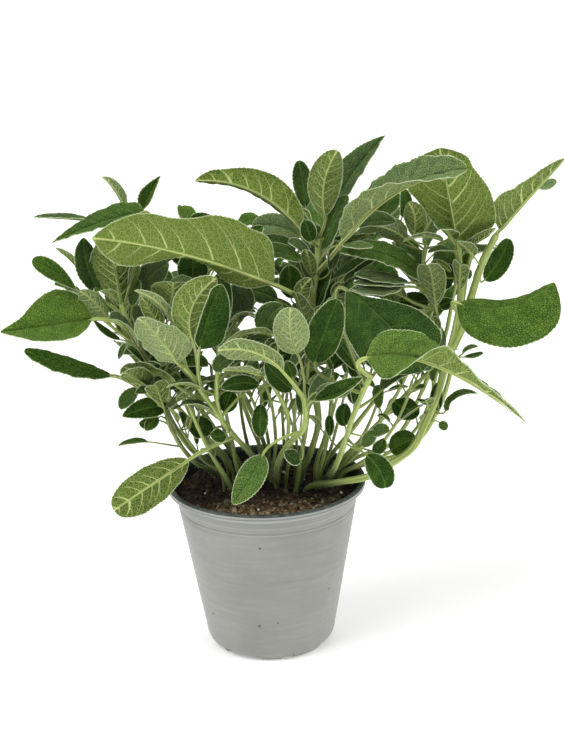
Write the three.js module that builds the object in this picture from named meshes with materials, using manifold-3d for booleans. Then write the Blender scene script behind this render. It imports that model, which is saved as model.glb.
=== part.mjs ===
// Potted sage: a nursery pot, its soil, and the leafy stems that stand in it.
// Millimetres, +Z up. The origin is the middle of the pot's base, the viewer looks along +Y.
import * as THREE from "three";
import { mergeVertices } from "three/addons/utils/BufferGeometryUtils.js";
import Module from "manifold-3d";

// Pot
const RIM_RADIUS = 60;
const RIM_TOP = 104.3;
const RIM_DROP = 4.2;
const RIM_INNER_RADIUS = 57.2;
const WALL_TOP_RADIUS = 56;
const RING_HEIGHT = 90.4;
const RING_STEP = 0.7;
const WALL_BOTTOM_RADIUS = 39.8;
const WALL_BOTTOM = 9;
const WALL = 1.4;
const FOOT_RADIUS = 35.3;
const FOOT_INNER_RADIUS = 29.5;
const FOOT_HEIGHT = 2.5;
const PAD_RADIUS = 12;
const FLOOR = 5.5;
const NOTCH_HEIGHT = 3.8;
const NOTCH_DEGREES = [28, 82, 118, 172, 208, 240, 286, 342];
const NOTCH_WIDTHS = [9, 20, 9, 20, 9, 22, 6, 20];
const DRAIN_COUNT = 6;
const DRAIN_RADIUS = 3.5;
const DRAIN_RING = 21;
const DRAIN_SIDES = 8;
const SIDES = 32;

// Soil
const SOIL_GAP = 0.3;
const SOIL_EDGE = 97.6;
const SOIL_MIDDLE = 100.6;
const HOLE_GAP = 0.4;

// Leaves
const RIB_HALF = 0.55;
const BLADE_HALF = 0.34;
const PETIOLE_HALF = 0.9;
const LONG_PETIOLE = 24;
const ROOT_SHARE = 0.35;
const LARGE_LEAF = 93;
const MIDDLE_LEAF = 48;
const SMALL_LEAF = 24;
const LEAF_GAP = 0.5;
const STEM_SIDES = 5;
const CURVE_STEPS_PER_POINT = 1.1;

// Stalks: radius and the places they pass. Each stem's first stalk starts in the soil,
// and the others start on the first.
// Leaves: stalk, place along it, blade base, middle and tip, widest half width, the way the upper
// side faces, twist, and how far the left and right halves fold up. An angle is one value or
// several at even places from base to tip. Last comes how fast the blade fills out at its base and
// narrows to its tip, or the widths of its left half and of its right half at even places.
const LEAFY_STEMS = {
  "left": {
    "stalks": {
      "main": [1.7, [[-29, 22, 84], [-29, 22, 102], [-45, 8, 121], [-56, -3, 145], [-60, -10, 163],
        [-64, -16, 180], [-72, -18, 198], [-77, -17, 211], [-80, -16, 221]]],
    },
    "leaves": [
      ["main", 0.96, [-80, -16, 223], [-83, -14, 243], [-88, -12, 261], 20, [4, 10, 1], 0, 75, 10, [0.6, 0.8]],
      ["main", 0.92, [-94, -8, 226], [-100, -4, 243], [-101, 0, 257], 8, [5, -10, 2], 0, 10, 10, [0.6, 0.8]],
      ["main", 0.80, [-104, -20, 230], [-115, -24, 242], [-128, -26, 251], 5.5, [-4, -10, 7], 0, 20, 0, [1.1, 0.5]],
      ["main", 0.74, [-88, -20, 213], [-93, -22, 222], [-103, -22, 231], 9, [-3, 10, 1], 0, 60, 5, [0.6, 0.6]],
      ["main", 0.84, [-96, -26, 215], [-121, -34, 214], [-147, -40, 213], 21, [0, -10, 7], 0, 42, 0,
        [[2, 11, 18, 19, 19, 17, 12, 7, 1], [6, 17, 21, 21, 19, 14, 8, 4, 1]]],
      ["main", 0.70, [-82, -14, 199], [-90, -16, 204], [-97, -18, 213], 3, [0, -5, 10], 0, 10, 10, [0.6, 0.8]],
      ["main", 0.68, [-79, -12, 196], [-82, -12, 191], [-84, -12, 186], 2, [0, -10, 10], 0, 10, 10, [0.6, 0.8]],
      ["main", 0.56, [-66, -10, 177], [-74, -8, 177], [-83, -6, 174], 2, [0, -3, 10], 0, 10, 10, [0.6, 0.7]],
    ],
  },
  "low_left": {
    "stalks": {
      "main": [1.5, [[-31, 12, 84], [-31, 12, 102], [-42, 0, 115], [-50, -8, 129], [-56, -14, 145], [-58, -16, 156]]],
    },
    "leaves": [
      ["main", 0.97, [-88, -20, 179], [-111, -26, 187], [-136, -30, 199], 7, [0, -6, 10], 0, 0, 0, [0.6, 0.5]],
      ["main", 0.90, [-73, -16, 169], [-79, -18, 164], [-84, -20, 158], 5, [-5, -10, 5], 0, 15, 15, [0.6, 0.6]],
      ["main", 0.93, [-57, -14, 157], [-69, -20, 158], [-83, -24, 155], 6.5, [0, -10, 6], 0, 10, 10, [0.6, 0.8]],
      ["main", 1.00, [-49, -14, 170], [-61, -19, 171], [-75, -22, 168], 6.5, [0, -8, 8], 0, 30, 20, [0.6, 0.8]],
      ["main", 0.60, [-70, -8, 133], [-79, -10, 134], [-88, -12, 132], 3, [0, -3, 10], 0, 10, 10, [0.6, 0.8]],
      ["main", 0.75, [-45, -12, 142], [-38, -14, 143], [-31, -16, 140], 7, [0, -10, 5], 0, 10, 10, [0.6, 0.6]],
      ["main", 0.85, [-62, -19, 152], [-66, -21, 149], [-70, -22, 145], 4, [-5, -10, 3], 0, 10, 10, [0.6, 0.7]],
      ["main", 0.80, [-64, -14, 148], [-69, -15, 147], [-74, -16, 148], 4, [-5, -10, 3], 0, 10, 10, [0.6, 0.7]],
    ],
  },
  "front_left": {
    "stalks": {
      "main": [1.8, [[-1, 8, 84], [-1, 8, 102], [-9, -14, 126], [-16, -30, 141], [-24, -37, 155],
        [-32, -40, 169], [-39, -43, 183], [-44, -45, 191]]],
      "side": [1.2, [[-22, -36, 151], [-26, -40, 166], [-26, -44, 179], [-25, -46, 193]]],
    },
    "leaves": [
      ["main", 0.45, [-44, -46, 135], [-65, -52, 123], [-88, -54, 108], 13, [2, 10, 1], 0, 45, 10, [0.6, 0.35]],
      ["main", 1.00, [-47, -48, 194], [-56, -52, 210], [-68, -54, 223], 13, [2, 10, 2], 0, 15, 10,
        [[4, 12, 13, 12, 11, 8, 6, 4, 1], [4, 10, 12, 13, 13, 12, 11, 9, 1]]],
      ["main", 0.95, [-48, -42, 213], [-56, -42, 227], [-70, -40, 235], 4, [5, 10, 3], 0, 20, 20, [0.6, 0.7]],
      ["main", 0.93, [-56, -40, 211], [-61, -38, 221], [-67, -36, 231], 6, [3, 10, 2], 0, 10, 10, [0.6, 0.6]],
      ["main", 0.90, [-52, -34, 221], [-49, -37, 230], [-48, -40, 239], 13, [1, 10, 2], 0, 10, 10, [0.5, 0.35]],
      ["main", 0.80, [-38, -52, 209], [-37, -52, 228], [-23, -48, 243], 12, [2, 10, 1], 0, 10, 10, [0.6, 0.7]],
      ["main", 0.76, [-34, -58, 205], [-28, -60, 225], [-20, -58, 242], 12, [0, -10, 2], 0, 5, 5,
        [[1, 4, 4, 4, 4, 4, 4, 4, 1], [3, 10, 12, 12, 12, 11, 9, 6, 1]]],
      ["side", 0.40, [-23, -34, 159], [-20, -34, 166], [-18, -32, 171], 6, [0, -10, 5], 0, 10, 10, [0.6, 0.6]],
      ["main", 0.50, [-22, -43, 149], [-26, -44, 148], [-31, -46, 150], 5, [0, -10, 10], 0, 10, 10, [0.6, 0.6]],
      ["side", 1.00, [-25, -48, 188], [-22, -52, 195], [-14, -56, 199], 5, [0, -10, 5], 0, 10, 10, [0.6, 0.6]],
    ],
  },
  "front": {
    "stalks": {
      "main": [1.9, [[6, -6, 84], [6, -6, 102], [7, -20, 120], [13, -36, 138], [22, -52, 153],
        [24, -58, 166], [23, -60, 177]]],
      "side": [1.3, [[13, -36, 138], [14, -46, 160], [8, -50, 176], [2, -52, 186]]],
    },
    "leaves": [
      ["main", 0.66, [-1, -58, 141], [-8, -62, 129], [-19, -62, 113], 8, [-2, -10, 3], 0, 10, 5, [0.6, 0.7]],
      ["main", 0.95, [20, -72, 205], [17, -74, 217], [17, -74, 232], 10, [1, 10, 2], 0, 5, 5, [0.55, 0.5]],
      ["main", 0.98, [12, -76, 196], [-3, -84, 210], [-23, -88, 213], 10, [0, 10, -2], 0, 5, 50,
        [[1, 5, 6, 6, 6, 6, 6, 4, 1], [1, 2, 4, 8, 9, 10, 10, 8, 1]]],
      ["side", 0.90, [6, -60, 213], [-6, -66, 216], [-19, -70, 212], 6, [0, 4, 10], 0, 20, 20, [0.6, 0.7]],
      ["side", 1.00, [0, -58, 189], [-11, -62, 193], [-22, -64, 194], 6, [0, 4, 10], 0, 20, 20, [0.6, 0.7]],
      ["side", 0.80, [-2, -50, 180], [-12, -54, 183], [-23, -56, 181], 5, [0, -10, 6], 0, 10, 10, [0.6, 0.6]],
      ["main", 0.90, [17, -54, 179], [9, -58, 187], [2, -60, 197], 7, [3, -10, 5], 0, 10, 10, [0.6, 0.7]],
      ["main", 1.00, [17, -68, 190], [16, -68, 194], [14, -68, 200], 4, [0, -10, 3], 0, 10, 10, [0.6, 0.6]],
      ["side", 0.50, [-1, -48, 168], [-2, -52, 160], [-2, -54, 150], 5, [0, -10, 3], 0, 10, 10, [0.6, 0.6]],
      ["main", 0.85, [29, -64, 175], [43, -70, 181], [56, -74, 191], 7, [1, -6, 10], 0, 30, 30, [0.6, 0.8]],
      ["main", 0.90, [30, -56, 177], [39, -61, 179], [49, -66, 180], 5, [0, -10, 6], 0, 10, 10, [0.6, 0.6]],
      ["main", 0.62, [20, -54, 136], [16, -56, 138], [11, -58, 143], 5, [0, -10, 10], 0, 10, 10, [0.6, 0.6]],
    ],
  },
  "centre": {
    "stalks": {
      "main": [2.2, [[21, 2, 84], [21, 2, 102], [27, -6, 122], [32, -8, 141], [31, -8, 159], [30, -6, 180],
        [30, -4, 198], [31, -2, 216], [34, 0, 236], [35, 4, 251]]],
    },
    "leaves": [
      ["main", 0.76, [8, -25, 232], [-43, -42, 256], [-91, -50, 268], 26, [0, 10, -1], 0, 8,
        [10, 25, 40, 68, 78, 65, 45, 25, 10, 5, 5],
        [[9, 23, 25, 27, 25, 20, 18, 18, 15, 9, 1], [1, 9, 12, 12, 12, 12, 13, 14, 14, 10, 1]]],
      ["main", 0.98, [24, 8, 257], [-3, 12, 279], [-36, 10, 286], 14, [0, 10, -1], 0, 5, 70,
        [[6, 10, 13, 14, 13, 11, 8, 6, 1], [1, 6, 8, 8, 7, 6, 6, 6, 1]]],
      ["main", 1.00, [28, 20, 266], [27, 26, 279], [25, 28, 293], 6, [0, -10, 2], 0, 10, 10, [0.6, 0.5]],
      ["main", 1.00, [39, 2, 265], [39, 0, 285], [47, -4, 304], 10, [2, 10, 1], 0, 10, 10, [0.6, 0.6]],
      ["main", 1.00, [43, 14, 263], [56, 20, 285], [76, 24, 307], 11, [-6, -10, 3], 0, 20, 40, [0.6, 0.9]],
      ["main", 0.86, [49, -14, 254], [78, -24, 283], [117, -34, 297], 15, [-3, 3, 10], 45, [50, 35], [75, 10],
        [0.5, 0.5]],
      ["main", 0.97, [31, -6, 252], [29, -7, 258], [27, -7, 265], 5, [0, -10, 5], 0, 10, 10, [0.6, 0.5]],
      ["main", 0.97, [25, 22, 248], [11, 26, 254], [-4, 28, 254], 8, [0, -10, 6], 0, 10, 10, [0.6, 0.6]],
      ["main", 0.93, [21, 12, 242], [13, 14, 247], [2, 14, 250], 6, [0, -4, 10], 0, 10, 10, [0.6, 0.6]],
      ["main", 0.75, [18, -14, 215], [18, -16, 225], [17, -18, 236], 7, [0, -10, 3], 0, 5, 5, [0.6, 0.5]],
      ["main", 0.74, [25, -10, 214], [24, -10, 223], [30, -10, 231], 5, [3, 10, 2], 0, 10, 10, [0.6, 0.6]],
      ["main", 0.66, [4, -34, 206], [5, -38, 216], [13, -38, 223], 8, [0, -10, 4], 0, 5, 5, [0.6, 0.6]],
      ["main", 0.70, [10, -8, 218], [1, -10, 223], [-9, -12, 227], 7, [0, -10, 10], 0, 5, 5, [0.6, 0.6]],
      ["main", 0.64, [1, -22, 209], [-9, -24, 215], [-18, -26, 210], 4, [0, 2, 10], 0, 20, 20, [0.6, 0.6]],
      ["main", 0.88, [48, -22, 253], [56, -26, 253], [65, -28, 253], 5, [0, -2, 10], 0, 10, 10, [0.6, 0.6]],
      ["main", 0.84, [41, -8, 235], [43, -8, 244], [45, -8, 253], 4, [4, -10, 3], 0, 10, 10, [0.6, 0.6]],
    ],
  },
  "front_right": {
    "stalks": {
      "main": [1.9, [[36, -3, 84], [36, -3, 102], [41, -24, 119], [47, -42, 143], [50, -52, 158], [56, -56, 175],
        [61, -58, 186]]],
    },
    "leaves": [
      ["main", 0.84, [30, -60, 196], [35, -64, 213], [43, -64, 233], 10, [1, -10, 3], 0, 5, 5, [0.5, 0.5]],
      ["main", 0.90, [49, -38, 231], [70, -50, 215], [90, -58, 188], 26, [0, -8, 7], 0, 8, 8,
        [[1, 2, 5, 10, 15, 19, 21, 19, 3], [3, 10, 19, 24, 26, 27, 24, 17, 3]]],
      ["main", 1.00, [57, -84, 205], [94, -94, 203], [142, -98, 170], 17, [0, -9, 5],
        [0, 0, 0, -25, -50, -55, -55, -55, -55], 5, [5, 5, 5, 40, 100, 105, 105, 105, 105],
        [[2, 12, 14, 16, 18, 14, 9, 6, 1], [3, 13, 12, 9, 12, 8, 4, 3, 1]]],
      ["main", 0.50, [58, -58, 139], [65, -62, 131], [68, -64, 121], 7.5, [2, -10, 3], 0, 5, 5, [0.5, 0.4]],
      ["main", 0.52, [56, -52, 142], [60, -54, 148], [64, -56, 153], 4, [0, -10, 5], 0, 10, 10, [0.6, 0.6]],
      ["main", 0.56, [61, -54, 150], [66, -58, 154], [71, -60, 154], 4, [0, -10, 7], 0, 10, 10, [0.6, 0.6]],
      ["main", 0.48, [62, -48, 137], [66, -50, 141], [68, -52, 147], 4, [0, -10, 3], 0, 10, 10, [0.6, 0.6]],
      ["main", 0.46, [47, -36, 149], [46, -36, 156], [48, -36, 163], 5, [0, -10, 3], 0, 10, 10, [0.6, 0.6]],
      ["main", 0.44, [38, -34, 142], [38, -33, 149], [38, -32, 155], 3, [0, -10, 3], 0, 10, 10, [0.6, 0.6]],
    ],
  },
  "right": {
    "stalks": {
      "main": [2.4, [[24, -12, 84], [24, -12, 101], [40, -26, 110], [60, -30, 115], [74, -28, 122], [86, -26, 130],
        [94, -22, 143], [102, -18, 160], [108, -13, 180], [114, -9, 200], [117, -6, 220], [116, -4, 237],
        [115, -2, 245]]],
      "side": [2.4, [[108, -13, 180], [117, -10, 197], [124, -4, 218], [130, -2, 236], [138, 0, 251]]],
    },
    "leaves": [
      ["main", 0.97, [115, -4, 246], [110, -8, 274], [104, -10, 305], 26, [0, 10, 0], 0, 5, 30,
        [[8, 22, 25, 25, 24, 21, 17, 14, 2], [2, 6, 12, 16, 20, 25, 27, 23, 2]]],
      ["side", 1.00, [140, 0, 254], [156, 0, 272], [178, 0, 295], 14, [-5, 10, 2], 0, 70, 15,
        [[1, 5, 7, 8, 8, 7, 5, 3, 1], [3, 12, 15, 14, 11, 9, 7, 5, 1]]],
      ["side", 0.95, [164, 12, 275], [170, 14, 277], [175, 16, 279], 3, [0, -10, 5], 0, 5, 5, [0.6, 0.6]],
      ["side", 0.80, [133, 12, 221], [142, 16, 231], [148, 20, 244], 7, [2, -10, 3], 0, 5, 5, [0.5, 0.5]],
      ["main", 0.78, [113, -22, 217], [140, -32, 217], [166, -38, 232], 28, [0, -10, 4], 0,
        [-55, -60, -75, -85, -85], 0,
        [[2, 10, 12, 12, 12, 11, 9, 6, 1], [4, 14, 19, 22, 24, 24, 23, 18, 3]]],
      ["side", 0.93, [138, 6, 242], [128, 4, 242], [119, 4, 241], 4, [0, -4, 10], 0, 10, 10, [0.6, 0.6]],
      ["main", 0.98, [113, -8, 244], [105, -12, 246], [97, -14, 245], 4, [0, -2, 10], 0, 20, 20, [0.6, 0.6]],
      ["main", 0.99, [118, -4, 246], [127, -6, 249], [137, -8, 257], 6, [0, 6, 10], 0, 20, 20, [0.6, 0.6]],
      ["main", 0.58, [103, -14, 149], [102, -13, 157], [103, -12, 166], 4, [0, -10, 3], 0, 10, 10, [0.6, 0.6]],
      ["main", 0.54, [107, -18, 150], [113, -22, 161], [125, -26, 163], 4, [2, -4, 10], 0, 10, 10, [0.6, 0.8]],
      ["main", 0.66, [117, -14, 184], [121, -16, 188], [126, -18, 189], 2.5, [0, -5, 10], 0, 10, 10, [0.6, 0.8]],
      ["main", 0.65, [118, -14, 182], [124, -16, 183], [129, -18, 185], 2.5, [0, -5, 10], 0, 10, 10, [0.6, 0.5]],
      ["main", 0.50, [103, -20, 144], [105, -20, 142], [108, -20, 140], 3, [0, -10, 5], 0, 10, 10, [0.6, 0.5]],
    ],
  },
  "upper_right": {
    "stalks": {
      "main": [1.5, [[38, 12, 84], [38, 12, 102], [51, 8, 117], [70, 8, 136], [85, 8, 152], [100, 6, 168],
        [106, 4, 184], [103, 2, 206], [96, 2, 225], [96, 4, 235], [98, 6, 245]]],
    },
    "leaves": [
      ["main", 0.97, [84, 6, 262], [86, 6, 270], [84, 6, 279], 4, [3, -10, 2], 0, 10, 10, [0.5, 0.5]],
      ["main", 0.96, [70, 14, 261], [75, 16, 267], [83, 18, 274], 7, [-2, -10, 3], 0, 10, 10, [0.6, 0.5]],
      ["main", 1.00, [90, 2, 251], [91, 0, 262], [87, 0, 272], 7, [3, 10, 1], 0, 10, 10, [0.6, 0.6]],
      ["main", 0.94, [86, 8, 248], [78, 6, 254], [69, 6, 257], 8, [0, 10, 3], 0, 10, 20, [0.6, 0.5]],
      ["main", 1.00, [97, 8, 251], [101, 10, 258], [107, 12, 266], 7, [3, 10, 1], 0, 10, 10, [0.6, 0.6]],
      ["main", 0.98, [107, -2, 249], [96, -6, 253], [83, -10, 251], 4, [0, 5, 10], 0, 20, 20, [0.6, 0.6]],
      ["main", 0.80, [96, -4, 225], [74, -14, 244], [46, -22, 249], 9, [-1, -7, 10], 0, 10, 10, [0.6, 0.6]],
      ["main", 0.78, [86, -14, 228], [69, -20, 232], [54, -24, 236], 6, [0, -4, 10], 0, 15, 15, [0.6, 0.6]],
      ["main", 0.76, [84, -18, 227], [69, -24, 230], [53, -28, 232], 5, [0, -3, 10], 0, 15, 15, [0.6, 0.6]],
      ["main", 0.74, [81, -22, 227], [67, -28, 227], [52, -32, 230], 6, [0, -5, 10], 0, 15, 15, [0.6, 0.6]],
      ["main", 0.82, [115, 8, 225], [109, 8, 225], [99, 8, 221], 8, [0, -10, 5], 0, 5, 5, [0.6, 0.6]],
      ["main", 0.70, [99, 4, 211], [91, 2, 212], [81, 0, 213], 6, [0, -10, 7], 0, 5, 5, [0.6, 0.6]],
      ["main", 0.72, [105, 0, 209], [109, -1, 211], [113, -2, 213], 4, [0, -10, 5], 0, 5, 5, [0.6, 0.8]],
      ["main", 0.32, [78, 2, 151], [84, -2, 147], [93, -4, 146], 7, [0, -10, 4], 0, 5, 5, [0.6, 0.5]],
      ["main", 0.22, [75, -4, 121], [82, -9, 127], [90, -12, 132], 8, [0, -10, 5], 0, 5, 5, [0.6, 0.5]],
    ],
  },
  "back_left": {
    "stalks": {
      "main": [1.6, [[-16, 26, 84], [-16, 26, 102], [-30, 20, 128], [-44, 12, 155], [-56, 6, 180], [-67, 5, 205],
        [-74, 8, 230], [-71, 12, 256]]],
    },
    "leaves": [
      ["main", 0.97, [-66, 4, 270], [-92, 0, 265], [-120, -6, 255], 10, [-3, -8, 10], 0, 25, 5, [0.35, 1.0]],
      ["main", 1.00, [-78, 18, 270], [-84, 20, 281], [-91, 22, 288], 5, [5, 10, 3], 0, 50, 50, [0.6, 0.9]],
      ["main", 1.00, [-67, 16, 269], [-63, 18, 277], [-56, 20, 288], 6, [-5, -10, 3], 0, 40, 40, [0.6, 0.9]],
      ["main", 0.92, [-99, 12, 265], [-115, 14, 266], [-131, 12, 267], 4, [0, -2, 10], 0, 20, 20, [0.6, 0.6]],
      ["main", 0.78, [-72, 4, 221], [-64, 4, 231], [-53, 4, 240], 8, [-2, -10, 4], 0, 5, 5, [0.6, 0.6]],
    ],
  },
  "inner": {
    "stalks": {
      "main": [1.5, [[2, 28, 84], [2, 28, 102], [-4, 18, 130], [-14, 8, 160], [-24, 0, 190], [-30, -6, 212],
        [-34, -10, 224]]],
    },
    "leaves": [
      ["main", 1.00, [-37, -14, 229], [-38, -15, 240], [-37, -15, 250], 9, [0, -10, 3], 0, 5, 5, [0.6, 0.6]],
      ["main", 0.88, [-13, -14, 210], [-11, -16, 221], [-13, -16, 232], 8, [0, -10, 4], 0, 5, 5, [0.6, 0.6]],
      ["main", 1.00, [-25, 14, 259], [-32, 18, 262], [-40, 20, 262], 4, [0, -8, 10], 0, 10, 10, [0.6, 0.6]],
    ],
  },
};

// Stems at the back carry their leaves in pairs, each pair square to the one below it.
const BACK_STEMS = {
  "back": [1.6, [[22, 28, 84], [22, 28, 102], [26, 40, 130], [34, 54, 165], [40, 62, 200], [44, 66, 232]]],
  "far_left": [1.6, [[-24, 38, 84], [-24, 38, 102], [-44, 46, 122], [-66, 54, 148], [-84, 58, 178], [-94, 60, 205]]],
  "back_middle": [1.6, [[-2, 42, 84], [-2, 42, 102], [-12, 54, 128], [-24, 66, 160], [-34, 74, 195], [-38, 78, 226]]],
  "far_right": [1.6, [[38, 30, 84], [38, 30, 102], [54, 38, 120], [76, 48, 146], [92, 54, 175], [100, 58, 205]]],
};
const SEED = 20260;
const PAIR_PLACES = [0.5, 0.66, 0.8, 0.91, 1.0];
const PAIR_LENGTHS = [60, 64, 58, 48, 34];
const PAIR_TURN = 90;
const FRONT_LIMIT = 14;

const wasm = await Module();
wasm.setup();

function solidOf(geometry) {
  const bare = geometry.clone();
  bare.deleteAttribute("normal");
  bare.deleteAttribute("uv");
  const merged = mergeVertices(bare, 1e-4);
  return new wasm.Manifold(new wasm.Mesh({
    numProp: 3,
    vertProperties: new Float32Array(merged.attributes.position.array),
    triVerts: new Uint32Array(merged.index.array),
  }));
}

function geometryOf(solid) {
  const mesh = solid.getMesh();
  const geometry = new THREE.BufferGeometry();
  geometry.setAttribute("position", new THREE.BufferAttribute(mesh.vertProperties, 3));
  geometry.setIndex(new THREE.BufferAttribute(mesh.triVerts, 1));
  return geometry;
}

// The outer skin of the largest piece: sealed hollows are filled and scraps are dropped.
function wholeOf(solid) {
  const pieces = solid.decompose();
  return pieces.reduce((largest, piece) => (piece.volume() > largest.volume() ? piece : largest));
}

function lathe(profile, sides) {
  const points = profile.map(([radius, height]) => new THREE.Vector2(radius, height));
  const geometry = new THREE.LatheGeometry(points, sides);
  return geometry.rotateX(Math.PI / 2);
}

function post(x, y, bottom, top, radius, sides) {
  const geometry = new THREE.CylinderGeometry(radius, radius, top - bottom, sides);
  return geometry.rotateX(Math.PI / 2).translate(x, y, (top + bottom) / 2);
}

function innerRadius(height) {
  const share = (height - WALL_BOTTOM) / (RIM_TOP - RIM_DROP - WALL_BOTTOM);
  return WALL_BOTTOM_RADIUS + (WALL_TOP_RADIUS - WALL_BOTTOM_RADIUS) * share - WALL;
}

function pot() {
  const ringRadius = innerRadius(RING_HEIGHT) + WALL;
  const body = solidOf(lathe([
    [0, 0],
    [PAD_RADIUS, 0],
    [PAD_RADIUS + 1.5, FOOT_HEIGHT],
    [FOOT_INNER_RADIUS - 1.5, FOOT_HEIGHT],
    [FOOT_INNER_RADIUS, 0],
    [FOOT_RADIUS, 0],
    [WALL_BOTTOM_RADIUS - 1.3, WALL_BOTTOM * 0.46],
    [WALL_BOTTOM_RADIUS, WALL_BOTTOM],
    [ringRadius - RING_STEP, RING_HEIGHT],
    [ringRadius, RING_HEIGHT + RING_STEP],
    [WALL_TOP_RADIUS, RIM_TOP - RIM_DROP],
    [RIM_RADIUS - 0.6, RIM_TOP - RIM_DROP],
    [RIM_RADIUS, RIM_TOP - RIM_DROP + 0.6],
    [RIM_RADIUS, RIM_TOP - 0.7],
    [RIM_RADIUS - 0.7, RIM_TOP],
    [RIM_INNER_RADIUS, RIM_TOP],
    [innerRadius(SOIL_EDGE), SOIL_EDGE],
    [innerRadius(WALL_BOTTOM), WALL_BOTTOM],
    [innerRadius(WALL_BOTTOM) - 1.6, FLOOR],
    [0, FLOOR],
  ], SIDES));
  let cut = body;
  NOTCH_DEGREES.forEach((degrees, i) => {
    const notch = new THREE.BoxGeometry(14, NOTCH_WIDTHS[i], NOTCH_HEIGHT * 2);
    notch.translate(FOOT_RADIUS - 1, 0, 0).rotateZ(THREE.MathUtils.degToRad(degrees));
    cut = cut.subtract(solidOf(notch));
  });
  for (let i = 0; i < DRAIN_COUNT; i++) {
    const angle = (i / DRAIN_COUNT) * 2 * Math.PI;
    const x = DRAIN_RING * Math.cos(angle);
    const y = DRAIN_RING * Math.sin(angle);
    cut = cut.subtract(solidOf(post(x, y, -1, FLOOR + 1, DRAIN_RADIUS, DRAIN_SIDES)));
  }
  return cut;
}

function soil(footings) {
  let body = solidOf(lathe([
    [0, FLOOR + SOIL_GAP],
    [innerRadius(WALL_BOTTOM) - 1.9, FLOOR + SOIL_GAP],
    [innerRadius(WALL_BOTTOM) - SOIL_GAP, WALL_BOTTOM + SOIL_GAP],
    [innerRadius(SOIL_EDGE) - SOIL_GAP, SOIL_EDGE],
    [50, SOIL_EDGE + 1.6],
    [28, SOIL_MIDDLE - 0.4],
    [0, SOIL_MIDDLE],
  ], SIDES));
  for (const [radius, [foot, ...rest]] of footings) {
    const hole = [[foot[0], foot[1], foot[2] - SOIL_GAP], ...rest];
    body = body.subtract(stalkSolid(radius + HOLE_GAP, hole));
  }
  return body;
}

function curveOf(points) {
  return new THREE.CatmullRomCurve3(points.map((p) => new THREE.Vector3(...p)), false, "catmullrom");
}

function stalkSolid(radius, points) {
  const section = new THREE.Shape();
  for (let i = 0; i < STEM_SIDES; i++) {
    const angle = (i / STEM_SIDES) * 2 * Math.PI;
    section[i ? "lineTo" : "moveTo"](radius * Math.cos(angle), radius * Math.sin(angle));
  }
  section.closePath();
  return solidOf(new THREE.ExtrudeGeometry(section, {
    steps: Math.round(points.length * CURVE_STEPS_PER_POINT),
    bevelEnabled: false,
    extrudePath: curveOf(points),
  }));
}

// One value, or the value between its neighbours in a list that runs from base (0) to tip (1).
function valueAt(values, share) {
  if (!Array.isArray(values)) return values;
  const place = share * (values.length - 1);
  const before = Math.min(Math.floor(place), values.length - 2);
  return THREE.MathUtils.lerp(values[before], values[before + 1], place - before);
}

function angleAt(angles, share) {
  return THREE.MathUtils.degToRad(valueAt(angles, share));
}

// How wide the blade's left half (0) or right half (1) is, from base (0) to tip (1).
function widthAt(halfWidth, shape, half, share) {
  if (Array.isArray(shape[half])) return valueAt(shape[half], share);
  const [atBase, atTip] = shape;
  const peak = atBase / (atBase + atTip);
  const most = peak ** atBase * (1 - peak) ** atTip;
  return (halfWidth * share ** atBase * (1 - share) ** atTip) / most;
}

function bladeCourse(base, middle, tip) {
  const bend = middle.clone().multiplyScalar(2).addScaledVector(base, -0.5).addScaledVector(tip, -0.5);
  return new THREE.QuadraticBezierCurve3(base, bend, tip);
}

// One ring of six points round a leaf: its left margin, midrib and right margin on the upper
// side, then the same three on the lower side in turn.
function bladeRing(centre, along, faceUp, [leftWidth, rightWidth], [leftFold, rightFold], edge, rib) {
  const up = faceUp.clone().addScaledVector(along, -faceUp.dot(along)).normalize();
  const side = new THREE.Vector3().crossVectors(along, up);
  const leftWay = side.clone().multiplyScalar(-Math.cos(leftFold)).addScaledVector(up, Math.sin(leftFold));
  const rightWay = side.clone().multiplyScalar(Math.cos(rightFold)).addScaledVector(up, Math.sin(rightFold));
  const leftUp = side.clone().multiplyScalar(Math.sin(leftFold)).addScaledVector(up, Math.cos(leftFold));
  const rightUp = side.clone().multiplyScalar(-Math.sin(rightFold)).addScaledVector(up, Math.cos(rightFold));
  const left = centre.clone().addScaledVector(leftWay, leftWidth);
  const right = centre.clone().addScaledVector(rightWay, rightWidth);
  return [
    left.clone().addScaledVector(leftUp, edge),
    centre.clone().addScaledVector(up, rib),
    right.clone().addScaledVector(rightUp, edge),
    right.clone().addScaledVector(rightUp, -edge),
    centre.clone().addScaledVector(up, -rib),
    left.clone().addScaledVector(leftUp, -edge),
  ];
}

function skinOver(rings) {
  const positions = rings.flat().flatMap((p) => [p.x, p.y, p.z]);
  const around = rings[0].length;
  const index = [];
  for (let i = 0; i + 1 < rings.length; i++) {
    for (let j = 0; j < around; j++) {
      const next = (j + 1) % around;
      const [a, b] = [i * around + j, i * around + next];
      const [c, d] = [a + around, b + around];
      const mirrored = j === 3 || j === 4;
      index.push(...(mirrored ? [a, b, d, a, d, c] : [a, b, c, b, d, c]));
    }
  }
  const last = (rings.length - 1) * around;
  for (const [p, q, r] of [[0, 5, 1], [1, 5, 4], [1, 4, 2], [2, 4, 3]]) {
    index.push(p, q, r, last + p, last + r, last + q);
  }
  const geometry = new THREE.BufferGeometry();
  geometry.setAttribute("position", new THREE.Float32BufferAttribute(positions, 3));
  geometry.setIndex(index);
  return geometry;
}

// Leaves are divided along their length by their size, the length and the width together.
function bladeSteps(size) {
  if (size > LARGE_LEAF) return 8;
  if (size > MIDDLE_LEAF) return 5;
  return size > SMALL_LEAF ? 3 : 2;
}

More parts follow.
